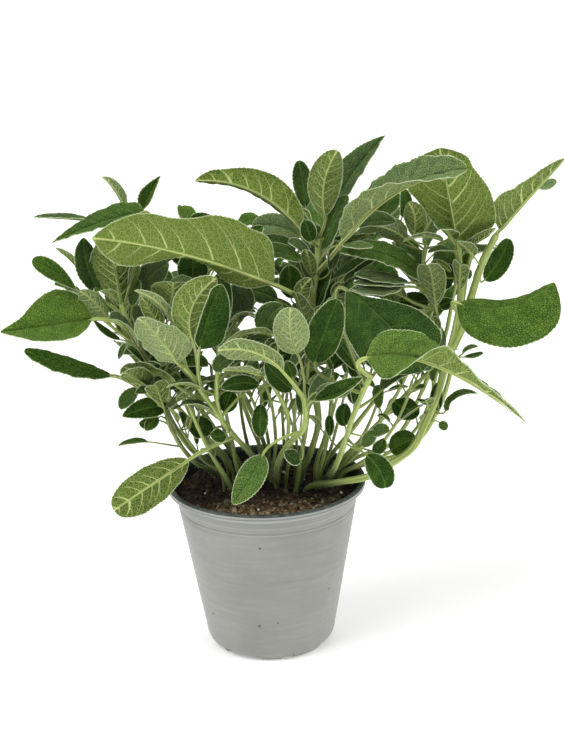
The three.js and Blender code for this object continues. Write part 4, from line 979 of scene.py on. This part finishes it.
def stalk_material():
    """Pale hairy green on the corners, greener on the flats, woody at the foot, bruised in places,
    and painted darker as shade low down inside the pot.
    """
    shader = Shader("sage_stalk")
    _, along, corner, around = shader.attribute("across")
    _, hue, tone, petiole = shader.attribute("tint")
    place = shader.place()
    cloud = place.noise(70.0)
    hairs = place.noise(3800.0, 2.0, 0.8)
    streaks = shader.node("CombineXYZ", {0: along * 0.08, 1: around}).noise(1.1)
    young = shader.mix(tone.step(0.0, 0.5), (0.190, 0.280, 0.060), (0.520, 0.620, 0.180))
    flat = corner.step(-1.0, 0.6, 0.7, 0.0) * streaks.step(0.3, 0.55)
    pale = corner.step(0.2, 1.0) * streaks.step(0.5, 0.75, 0.2, 0.6)
    height = place.parts()[2]
    wood = height.step(0.098, 0.118, 0.85, 0.0) * cloud.step(0.2, 0.6, 0.6, 1.0)
    # Painted shade: stalks darken low down near the pot's axis, where the crown and the pot's wall shade
    # them.
    away = shader.node("VectorMath", {0: place.scaled(1.0, 1.0, 0.0)}, "Value", operation="LENGTH")
    shade = height.step(0.105, 0.165, 0.75, 0.0) * away.step(0.035, 0.062, 1.0, 0.0)
    bruise = place.noise(28.0, 2.0).step(0.56, 0.70) * 0.55
    flush = petiole * hue.step(0.6, 0.8) * corner.step(-0.6, 0.6, 0.7, 0.1)
    colour = shader.mix(hue * 0.45 + cloud * 0.6, (0.370, 0.480, 0.105), (0.640, 0.730, 0.290))
    colour = shader.layers(colour, (petiole, young), (flat, (0.150, 0.240, 0.030)),
                           (pale, (0.840, 0.900, 0.560)), (wood, (0.058, 0.052, 0.016)),
                           (shade, (0.075, 0.115, 0.020)), (bruise.most(flush), (0.120, 0.075, 0.060)),
                           (hairs.step(0.5, 0.8, 0.0, 0.4), (0.66, 0.72, 0.46)))
    return shader.finish(streaks * 0.8 + hairs, 0.0003, Base_Color=colour, Roughness=0.6,
                         Specular_IOR_Level=0.15, Sheen_Weight=0.05, Sheen_Roughness=0.35,
                         Sheen_Tint=(0.9, 0.95, 0.8, 1), Subsurface_Weight=0.15,
                         Subsurface_Radius=(0.6, 1.0, 0.2), Subsurface_Scale=0.0015)


def soil_material(name, dark, light, rust):
    """Crumbly potting soil, brown towards the front and painted near black behind as shade."""
    shader = Shader(name)
    place = shader.place()
    clods = place.noise(260.0, 6.0, 0.65)
    stain = place.noise(38.0)
    grains = place.noise(1500.0, 2.0, 0.8)
    # Painted shade: the soil grows near black towards the back of the pot, where less light reaches it.
    rear_painted_shade = (stain * 0.03 + place.parts()[1]).step(-0.030, 0.002, 0.0, 0.85)
    colour = shader.mix(clods.step(0.38, 0.66), dark, light)
    colour = shader.layers(colour, (stain.step(0.45, 0.7) * rust, (0.165, 0.078, 0.034)),
                           (grains.step(0.6, 0.75, 0.0, 0.75), (0.38, 0.29, 0.17)),
                           (rear_painted_shade, (0.010, 0.007, 0.008)))
    return shader.finish(clods + grains * 0.4, 0.0014, Base_Color=colour, Roughness=0.92,
                         Specular_IOR_Level=0.15)


def grain_material():
    """Off-white perlite."""
    shader = Shader("perlite")
    cloud = shader.place().noise(900.0)
    colour = shader.mix(cloud, (0.55, 0.50, 0.40), (0.85, 0.82, 0.74))
    return shader.finish(cloud, 0.0004, Base_Color=colour, Roughness=0.8)


def pot_material():
    """Satin recycled plastic: faint clouds, drawn streaks, a smudge and a few dark specks, with fine
    pale lines painted as highlights round the wall and one dark line on the rim.
    """
    shader = Shader("pot_plastic")
    place = shader.place()
    height = place.parts()[2] * 1000.0
    level = place.scaled(1.0, 1.0, 9.0)
    streaks = level.noise(45.0, 5.0, 0.6)
    band = abs(height - SMUDGE_HEIGHT).step(0.5, 5.0, 0.5, 0.0)
    smudge = level.noise(28.0, 4.0, 0.6).step(0.48, 0.6) * band
    colour = shader.mix(place.noise(22.0, 4.0).step(0.3, 0.7), (0.250, 0.254, 0.233), (0.292, 0.295, 0.272))
    colour = shader.layers(colour, (streaks.step(0.45, 0.75, 0.0, 0.35), (0.36, 0.36, 0.33)),
                           (height.step(95.0, 101.5, 0.0, 0.5), (0.360, 0.390, 0.365)),
                           (smudge, (0.235, 0.215, 0.170)))
    # Painted highlights: thin pale lines round the wall, and one fine dark line on the rim.
    for line, strength, shade in PAINTED_LIGHT_LINES:
        drawn = abs(height - line).step(0.15, 0.65, strength, 0.0)
        colour = shader.mix(drawn, colour, (shade, shade, shade * 0.93))
    for angle, speck_height, size in SPECKS:
        reach = inner_radius(speck_height) + WALL
        turn = math.radians(angle)
        centre = Vector((reach * math.cos(turn), reach * math.sin(turn), speck_height)) * MM
        away = shader.node("VectorMath", {0: place, 1: centre}, "Value", operation="DISTANCE")
        colour = shader.mix(away.step(size * 0.5 * MM, size * MM, 0.85, 0.0), colour, (0.05, 0.045, 0.04))
    scuffs = place.noise(190.0, 4.0, 0.7)
    return shader.finish(streaks * 0.4 + scuffs, 0.0001, Base_Color=colour,
                         Roughness=scuffs.step(0.3, 0.8, 0.42, 0.6), Specular_IOR_Level=0.4,
                         Sheen_Weight=0.2, Sheen_Roughness=0.5)


def lip_material():
    """The pot's lip and inside: the lip painted dark slate as shade and mottled with dust,
    the inside below it painted near black as shade.
    """
    shader = Shader("pot_lip_painted_shade")
    place = shader.place()
    dust = place.noise(300.0, 5.0, 0.7)
    # Painted shade: the inside of the pot below the lip is painted near black.
    inside_painted_shade = place.parts()[2].step(0.1010, 0.1035, 0.85, 0.0)
    colour = shader.mix(dust.step(0.35, 0.7), (0.050, 0.062, 0.058), (0.115, 0.125, 0.112))
    colour = shader.mix(inside_painted_shade, colour, (0.012, 0.012, 0.011))
    return shader.finish(dust, 0.0002, Base_Color=colour, Roughness=0.7, Specular_IOR_Level=0.15)


# Pot and soil sizes, as in the solids
RIM_TOP = 104.3
RIM_DROP = 4.2
WALL = 1.4
WALL_BOTTOM = 9.0
WALL_BOTTOM_RADIUS = 39.8
WALL_TOP_RADIUS = 56.0
RING_HEIGHT = 90.4
RING_STEP = 0.7
FLOOR = 5.5
FOOT_RADIUS = 35.3
NOTCH_HEIGHT = 3.8
NOTCHES = ((28, 9), (82, 20), (118, 9), (172, 20), (208, 9), (240, 22), (286, 6), (342, 20))
DRAIN_COUNT = 6
DRAIN_RADIUS = 3.5
DRAIN_RING = 21.0
DRAIN_SIDES = 40
CUT_PAST = 2
NOTCH_SLOPE = 2.2
POT_COLUMNS = 320
SWAY = 0.12
SMALL_SWAY = 0.07
STEADY_HEIGHT = 30
STEADY_RADIUS = 59

# Fine lines round the wall: height, strength and grey level. The pale ones are painted highlights near
# the ring step and under the rim, the dark one a fine line on the rim. Dark specks in it: degrees round,
# height and size. And the height of a faint brown smudge
PAINTED_LIGHT_LINES = ((101.5, 0.6, 0.12), (98.3, 0.5, 0.55), (93.5, 0.25, 0.50), (89.0, 0.4, 0.55))
SPECKS = ((265, 81, 1.1), (321, 43, 0.9), (216, 27, 0.9), (261, 26, 1.1), (276, 28, 0.7), (195, 60, 0.8),
          (340, 70, 0.6), (20, 35, 0.7), (60, 66, 0.8), (95, 25, 0.6), (130, 80, 0.7), (165, 40, 0.6))
SMUDGE_HEIGHT = 56.0


def inner_radius(height):
    """How far the inside of the wall is from the pot's axis."""
    share = (height - WALL_BOTTOM) / (RIM_TOP - RIM_DROP - WALL_BOTTOM)
    return WALL_BOTTOM_RADIUS + (WALL_TOP_RADIUS - WALL_BOTTOM_RADIUS) * share - WALL


def pot_profile():
    """Radius, height and how far a notch can lift each point, and the first point of the lip,
    which with the inside is painted dark as shade.
    """
    ring = inner_radius(RING_HEIGHT) + WALL
    rim = RIM_TOP - RIM_DROP
    wall = [(0.02, 0, 0), (6, 0, 0), (11.6, 0, 0), (12, 0.1, 0), (13.4, 2.4, 0), (13.9, 2.5, 0),
            (27.6, 2.5, 1), (28.3, 2.2, 1), (29.3, 0.2, 1), (29.7, 0, 1), (34.9, 0, 1), (35.4, 0.15, 1),
            (36.9, 2.0, 1), (38.4, 4.0, 0), (39.0, 5.2, 0), (39.6, 7.2, 0), (39.85, 9, 0)]
    wall += [(inner_radius(height) + WALL, height, 0) for height in np.linspace(14, RING_HEIGHT - 1.2, 22)]
    wall += [(ring + out, RING_HEIGHT + up, 0) for out, up in
             ((-0.75, -0.5), (-RING_STEP, 0), (-0.2, 0.5), (0.02, 0.9), (0.3, 2.5))]
    wall += [(WALL_TOP_RADIUS + out, rim + up, 0) for out, up in ((-0.5, -2.6), (-0.1, -0.7), (0.4, -0.15))]
    wall += [(radius, rim + up, 0) for radius, up in
             ((58.6, 0), (59.4, 0.1), (59.85, 0.45), (60, 1.0), (60, 3.0))]
    lip = [(radius, RIM_TOP - down, 0) for radius, down in
           ((59.85, 0.6), (59.4, 0.15), (58.8, 0), (57.7, 0.1), (57.2, 0.5), (56.4, 2.5))]
    inside_wall = [(inner_radius(height), height, 0) for height in np.linspace(97.6, WALL_BOTTOM + 1, 14)]
    inside_floor = [(inner_radius(WALL_BOTTOM) - 0.5, WALL_BOTTOM - 1.5, 0),
                    (inner_radius(WALL_BOTTOM) - 2.2, FLOOR, 0), (20, FLOOR, 0), (0.02, FLOOR, 0)]
    return np.array(wall + lip + inside_wall + inside_floor), len(wall) - 1


def make_pot():
    """The pot's profile turned round its axis, with notches lifted in the foot and a slightly wavy wall."""
    rows, first_shaded = pot_profile()
    angles = np.linspace(0, 2 * np.pi, POT_COLUMNS, endpoint=False)
    lifted = np.zeros(POT_COLUMNS)
    for middle, width in NOTCHES:
        off = np.abs((np.degrees(angles) - middle + 180) % 360 - 180)
        half = np.degrees(np.arcsin(width / 2 / FOOT_RADIUS))
        lifted = np.maximum(lifted, np.clip((half + NOTCH_SLOPE - off) / (2 * NOTCH_SLOPE), 0, 1))
    radius = rows[:, 0][:, None] * np.ones(POT_COLUMNS)
    height = rows[:, 1][:, None] * np.ones(POT_COLUMNS)
    height = height + (NOTCH_HEIGHT - height).clip(0) * rows[:, 2][:, None] * lifted[None, :]
    sway = SWAY * np.sin(3 * angles + 0.7) + SMALL_SWAY * np.sin(7 * angles)
    radius = radius + sway[None, :] * np.clip((height - STEADY_HEIGHT) / 40, 0, 1) * (radius < STEADY_RADIUS)
    points = np.stack([radius * np.cos(angles), radius * np.sin(angles), height], axis=-1).reshape(-1, 3)
    # The lip and the inside take the second material, painted dark as shade.
    dark = np.repeat(np.arange(len(rows) - 1) >= first_shaded, POT_COLUMNS).astype(int)
    skin = Skin()
    skin.add(points, grid_faces(len(rows), POT_COLUMNS, flipped=True, closed=True), dark)
    piece = skin.piece("pot_wall", [pot_material(), lip_material()])
    cut_drains(piece)
    return piece


def cut_drains(piece):
    """Cuts the drain holes through the pot's floor."""
    mesh = bpy.data.meshes.new("drain_cutter")
    points, faces = [], []
    for k in range(DRAIN_COUNT):
        angle = k / DRAIN_COUNT * 2 * math.pi
        centre = np.array([DRAIN_RING * math.cos(angle), DRAIN_RING * math.sin(angle), 0])
        turn = np.linspace(0, 2 * np.pi, DRAIN_SIDES, endpoint=False)
        ring = np.stack([np.cos(turn), np.sin(turn), 0 * turn], axis=-1) * DRAIN_RADIUS
        first = len(points)
        points += [*(centre + ring + [0, 0, -CUT_PAST]), *(centre + ring + [0, 0, FLOOR + CUT_PAST])]
        low = [first + i for i in range(DRAIN_SIDES)]
        high = [i + DRAIN_SIDES for i in low]
        faces += zip(low, low[1:] + low[:1], high[1:] + high[:1], high)
        faces += [low[::-1], high]
    mesh.from_pydata([tuple(p * MM) for p in points], [], faces)
    cutter = add_object("drain_cutter", mesh)
    modifier = piece.modifiers.new("drains", "BOOLEAN")
    modifier.operation, modifier.object, modifier.solver = "DIFFERENCE", cutter, "EXACT"
    shown = piece.evaluated_get(bpy.context.evaluated_depsgraph_get())
    cut = bpy.data.meshes.new_from_object(shown)
    piece.modifiers.clear()
    piece.data = cut
    bpy.data.objects.remove(cutter)


GROUND, CRUMB, FIBRE, GRIT, PERLITE = range(5)
SOIL_SEED = 41
SOIL_RINGS = 76
SOIL_COLUMNS = 220
SOIL_GAP = 0.35
SOIL_REACH = 53
CRUMBS = 1300
FIBRES = 150
FIBRE_REACH = 48
FIBRE_POINTS = 7


def soil_height(x, y):
    """The top of the soil: a low mound, rough, with clods."""
    place = Vector((x * 0.09, y * 0.09, 0.3))
    mound = 100.4 - 2.6 * (math.hypot(x, y) / 55) ** 2.4
    rough = noise.fractal(place, 0.8, 2.2, 5) * 1.5
    clods = abs(noise.noise(place * 4.2)) * 1.3 + abs(noise.noise(place * 11)) * 0.7
    return mound + rough * 0.7 + clods - 0.9


def add_ground(skin):
    """The body of the soil: its rough top, then its wall and its flat underside."""
    angles = np.linspace(0, 2 * np.pi, SOIL_COLUMNS, endpoint=False)
    top = np.linspace(0.8, inner_radius(98) - SOIL_GAP, SOIL_RINGS)
    points = [(r * math.cos(a), r * math.sin(a), soil_height(r * math.cos(a), r * math.sin(a)))
              for r in [0.02, *top] for a in angles]
    sides = [(inner_radius(height) - SOIL_GAP, height) for height in (95, 60, 10)]
    for radius, height in [*sides, (inner_radius(9) - 2.4, FLOOR + 0.3), (0.02, FLOOR + 0.3)]:
        points += [(radius * math.cos(a), radius * math.sin(a), height) for a in angles]
    skin.add(np.array(points), grid_faces(len(points) // SOIL_COLUMNS, SOIL_COLUMNS, closed=True), GROUND)


def spot(draw, reach):
    """A place on the soil, as likely in one part of its top as in another."""
    angle, r = draw.uniform(0, 6.28), reach * math.sqrt(draw.uniform(0, 1))
    return r * math.cos(angle), r * math.sin(angle), r


def add_crumbs(skin, draw):
    """Lumps, grit and a few grains of perlite, each a bumpy ball."""
    ball, quads = cube_ball(2)
    for k in range(CRUMBS):
        x, y, r = spot(draw, SOIL_REACH)
        size = draw.uniform(0.35, 1.2) if k % 12 else draw.uniform(1.2, 2.3)
        if r + size > SOIL_REACH:
            continue
        bumpy = ball * (1 + 0.25 * draw.standard_normal((len(ball), 1)).clip(-1, 1))
        bumpy = bumpy * draw.uniform(0.6, 1.2, 3) * size
        slot = PERLITE if k % 97 == 0 else GRIT if k % 3 == 0 else CRUMB
        skin.add(bumpy + [x, y, soil_height(x, y) + size * 0.25], quads, slot)


def add_fibres(skin, draw):
    """Bits of fibre that lie on the soil, each a little bowed."""
    for _ in range(FIBRES):
        x, y, _ = spot(draw, FIBRE_REACH)
        turn, length = draw.uniform(0, 6.28), draw.uniform(3, 11)
        bow = draw.uniform(-1.5, 1.5)
        share = np.linspace(-0.5, 0.5, FIBRE_POINTS)
        px = x + share * length * math.cos(turn) - bow * share ** 2 * math.sin(turn) * 4
        py = y + share * length * math.sin(turn) + bow * share ** 2 * math.cos(turn) * 4
        if np.hypot(px, py).max() >= SOIL_REACH:
            continue
        pz = np.array([soil_height(a, b) for a, b in zip(px, py)]) + draw.uniform(0.1, 0.9)
        thick = draw.uniform(0.12, 0.4)
        tube(skin, np.stack([px, py, pz], axis=-1), np.full(FIBRE_POINTS, thick), 5, FIBRE, (0, 0, 0))


def make_soil():
    """The soil with what lies on it."""
    skin = Skin()
    add_ground(skin)
    draw = np.random.default_rng(SOIL_SEED)
    add_crumbs(skin, draw)
    add_fibres(skin, draw)
    return skin.piece("potting_soil", [
        soil_material("soil_top", (0.016, 0.011, 0.006), (0.255, 0.172, 0.086), 0.4),
        soil_material("soil_crumb", (0.055, 0.038, 0.019), (0.430, 0.310, 0.175), 0.4),
        soil_material("soil_fibre", (0.170, 0.095, 0.038), (0.430, 0.270, 0.130), 0.3),
        soil_material("soil_grit", (0.170, 0.140, 0.085), (0.560, 0.480, 0.310), 0.15),
        grain_material(),
    ])


def cube_ball(cuts):
    """A round ball of quads."""
    steps = np.linspace(-1, 1, cuts + 1)
    index, points, quads = {}, [], []
    for axis in range(3):
        for end in (-1, 1):
            grid = np.zeros((cuts + 1, cuts + 1), int)
            for i, u in enumerate(steps):
                for j, v in enumerate(steps):
                    corner = np.roll([end, u, v], axis)
                    key = tuple(np.round(corner, 4))
                    if key not in index:
                        index[key] = len(points)
                        points.append(unit(np.tan(corner * 0.785)))
                    grid[i, j] = index[key]
            for i in range(cuts):
                for j in range(cuts):
                    quad = [grid[i, j], grid[i + 1, j], grid[i + 1, j + 1], grid[i, j + 1]]
                    quads.append(quad if end > 0 else quad[::-1])
    return np.array(points), np.array(quads)


def view_axes():
    """The camera's directions ahead, to the right and up."""
    pitch, roll = math.radians(CAMERA_PITCH), math.radians(CAMERA_ROLL)
    ahead = np.array([0, math.cos(pitch), -math.sin(pitch)])
    level, above = np.array([1.0, 0, 0]), np.array([0, math.sin(pitch), math.cos(pitch)])
    right = level * math.cos(roll) + above * math.sin(roll)
    return ahead, right, above * math.cos(roll) - level * math.sin(roll)


def seen_at(points):
    """Where the camera sees points, in pixels of the photograph."""
    ahead, right, up = view_axes()
    off = points - np.array(CAMERA_AIM) + ahead * CAMERA_DISTANCE
    scale = FOCAL_PIXELS / (off @ ahead)
    across, down = IMAGE_WIDTH / 2 + (off @ right) * scale, IMAGE_HEIGHT / 2 - (off @ up) * scale
    return np.stack([across, down], axis=-1)


def inside(points, outline):
    """True for each point that lies inside the closed outline."""
    x, y = points[:, 0], points[:, 1]
    within = np.zeros(len(points), bool)
    for (x1, y1), (x2, y2) in zip(outline, outline[1:] + outline[:1]):
        if y1 != y2:
            crosses = (y1 > y) != (y2 > y)
            within ^= crosses & (x < (x2 - x1) * (y - y1) / (y2 - y1) + x1)
    return within


def has_room(marks, taken, gap, lowest):
    """True where a leaf stays in the crown, out of the clearings and clear of the leaves so far."""
    pixels = seen_at(marks)
    if not inside(pixels, CROWN).all():
        return False
    for left, top, right, bottom in CLEARINGS:
        x, y = pixels.T
        if ((x > left) & (x < right) & (y > top) & (y < bottom)).any():
            return False
    low, high = np.array(cad_box) / MM
    if (marks < low + BOX_MARGIN).any() or (marks > high - BOX_MARGIN).any() or marks[:, 2].min() < lowest:
        return False
    return np.linalg.norm(taken[:, None] - marks[None], axis=2).min() > gap


def filler_leaf(points, place, turn, length, draw):
    """A small leaf from the stalk, rising outwards with its tip a little bowed."""
    out = np.array([math.cos(turn), math.sin(turn), 0.0])
    rise = math.radians(draw.uniform(*FILLER_RISES))
    way = out * math.cos(rise) + np.array([0, 0, math.sin(rise)])
    root = catmull(points, place)[0]
    base = root + way * length * draw.uniform(*FILLER_PETIOLES) + np.array([0, 0, 2.0])
    bow = np.array([0, 0, 1.0]) * length * draw.uniform(*FILLER_BOWS)
    faces = np.array([0, 0, 1.0]) - out * 0.5 + draw.uniform(-0.5, 0.5, 3)
    fold = draw.uniform(*FILLER_FOLDS)
    half_width = length * draw.uniform(*FILLER_WIDTHS)
    twist = draw.uniform(-FILLER_TWIST, FILLER_TWIST)
    middle, tip = base + way * length / 2 + bow * 0.5, base + way * length - bow
    return Leaf(root, base, middle, tip, half_width, faces, fold, twist, at_base=0.55)


def fill_stem(skin, stalks, taken, seed):
    """The small leaves that fill a stem between its large ones."""
    draw = np.random.default_rng(seed)
    for k in range(FILLER_TRIES):
        _, points = stalks[k % len(stalks)]
        length = draw.uniform(*FILLER_LENGTHS)
        leaf = filler_leaf(points, draw.uniform(*FILLER_PLACES), draw.uniform(0, 6.28), length, draw)
        marks = leaf.marks()
        if marks[:, 1].min() > FRONT_FILLER and has_room(marks, np.vstack(taken), FILLER_GAP, LOWEST_FILLER):
            add_leaf(skin, leaf, seed + k, FILLER_SHADE_TONE * age_and_light_tone(leaf), fine=False)
            taken.append(marks)


def make_stems(materials):
    """Every leafy stem again, finer, each in place of its solid."""
    draw = draws(SEED)
    number = 0
    built, taken = [], []
    for stem, stalks in STALKS.items():
        skin = Skin()
        for radius, points in stalks:
            add_stalk(skin, radius, points, len(built), hairs=STEM_HAIRS)
        for stalk, place, course, form, looks in LEAVES[stem]:
            _, points = stalks[stalk]
            leaf = Leaf(catmull(points, place)[0], *course, **form)
            add_leaf(skin, leaf, number, *looks)
            taken.append(leaf.marks())
            number += 1
        built.append((stem, skin, stalks))
    for stem, (radius, points) in BACK_STALKS.items():
        skin = Skin()
        add_stalk(skin, radius, points, len(built), hairs=THIN_HAIRS)
        solid = solid_points("leafy_stem_" + stem)
        for leaf in paired_leaves(points, draw):
            if stands_in(leaf, solid):
                add_leaf(skin, leaf, number, age_and_light_tone(leaf))
                taken.append(leaf.marks())
                number += 1
        built.append((stem, skin, [(radius, points)]))
    for k, (stem, skin, stalks) in enumerate(built):
        fill_stem(skin, stalks, taken, FILLER_SEED + 100 * k)
        finish_stem(skin, stem, materials)
    return taken


def make_shoots(materials, taken):
    """Thin young shoots that rise from the soil among the stems, each with a few small leaves."""
    skin = Skin()
    draw = np.random.default_rng(SHOOT_SEED)
    for k, (radius, points) in enumerate(SHOOTS):
        x, y, _ = points[0]
        points = [[x * SHOOT_FOOT_SPREAD, y * SHOOT_FOOT_SPREAD, SHOOT_FOOT]] + points
        add_stalk(skin, radius, points, SHOOT_STALK_SEED + k, top=0.6, hairs=THIN_HAIRS)
        for pair, place in enumerate(SHOOT_LEAF_PLACES):
            turn = draw.uniform(0, 3.14) + pair * 1.57
            for opposite in (0, math.pi):
                length = draw.uniform(*SHOOT_LEAF_LENGTHS)
                leaf = filler_leaf(points, place, turn + opposite + draw.uniform(-0.3, 0.3), length, draw)
                if has_room(leaf.marks(), np.vstack(taken), SHOOT_GAP, LOWEST_SHOOT_LEAF):
                    add_leaf(skin, leaf, SHOOT_LEAF_SEED + 2 * len(taken), SHOOT_LEAF_TONE, fine=False)
                    taken.append(leaf.marks())
    piece = skin.piece("young_shoots", materials)
    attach(piece, "root")


def age_and_light_tone(leaf):
    """Leaves higher up and further out are younger and paler, and are also painted brighter for the light
    that falls on them, and darker as shade deep in the crown.
    """
    middle = (leaf.base + leaf.tip) / 2
    # Painted light and shade on top of age: brighter up high and out at the crown's edge, darker deep
    # inside.
    height = np.clip((middle[2] - 150) / 130, 0, 1)
    outward = np.clip((np.hypot(middle[0] - 15, middle[1] - 10) - 50) / 60, 0, 1)
    return float(0.5 * height + 0.3 * outward)


def finish_stem(skin, stem, materials):
    """Puts a stem's finer piece in place of its solid."""
    piece = skin.piece("sage_" + stem, materials)
    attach(piece, "root")
    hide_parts("leafy_stem_" + stem)


# Half the side of the floor and how far the camera sees, in metres
FLOOR_HALF = 20
FAR = 50

# Broad soft lights: compass direction seen from the front, height and spread in degrees, and strength
SUNS = {"key": (-62, 52, 45, 2.2), "side": (68, 42, 50, 1.4), "back": (170, 62, 60, 0.9)}
SKY = 0.27


def camera():
    """The camera that sees the pot as the photograph does."""
    ahead, right, up = view_axes()
    data = bpy.data.cameras.new("camera")
    data.sensor_width = SENSOR
    data.lens = FOCAL_PIXELS * SENSOR / IMAGE_HEIGHT
    data.clip_end = FAR
    axes = Matrix((right, up, -ahead)).transposed().to_4x4()
    place = Vector((np.array(CAMERA_AIM) - ahead * CAMERA_DISTANCE) * MM)
    bpy.context.scene.camera = add_object("camera", data)
    bpy.context.scene.camera.matrix_world = Matrix.Translation(place) @ axes


def floor():
    """A wide pale floor."""
    mesh = bpy.data.meshes.new("floor")
    corners = [(x * FLOOR_HALF, y * FLOOR_HALF, 0) for x, y in ((-1, -1), (1, -1), (1, 1), (-1, 1))]
    mesh.from_pydata(corners, [], [(0, 1, 2, 3)])
    shader = Shader("pale_floor")
    cloud = shader.place().noise(4.0, 2.0)
    colour = shader.mix(cloud, (0.91, 0.91, 0.91), (0.93, 0.93, 0.93))
    mesh.materials.append(shader.finish(Base_Color=colour, Roughness=0.9, Emission_Color=(1, 1, 1, 1),
                                        Emission_Strength=0.2))
    piece = add_object("floor", mesh)


def sun(name, azimuth, height, spread, power):
    """One broad soft light."""
    data = bpy.data.lights.new(name, "SUN")
    data.angle, data.energy = math.radians(spread), power
    lamp = add_object(name, data)
    turn, rise = math.radians(azimuth), math.radians(height)
    towards = Vector((math.sin(turn) * math.cos(rise), -math.cos(turn) * math.cos(rise), math.sin(rise)))
    lamp.rotation_mode = "QUATERNION"
    lamp.rotation_quaternion = (-towards).to_track_quat("-Z", "Y")


def lights():
    """A white sky and three broad lights."""
    world = bpy.data.worlds.new("studio")
    world.use_nodes = True
    sky = world.node_tree.nodes["Background"]
    sky.inputs["Color"].default_value = (1.0, 1.0, 1.0, 1)
    sky.inputs["Strength"].default_value = SKY
    bpy.context.scene.world = world
    bpy.context.scene.view_settings.view_transform = "Standard"
    for name, settings in SUNS.items():
        sun(name, *settings)


camera()
floor()
lights()
sage = [
    blade_material("sage_upper", UPPER_MESH, upper_face),
    blade_material("sage_under", UNDER_MESH, under_face),
    margin_material(),
    stalk_material(),
]
make_shoots(sage, make_stems(sage))
pot = make_pot()
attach(pot, "root")
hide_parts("pot")
soil = make_soil()
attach(soil, "root")
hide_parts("soil")
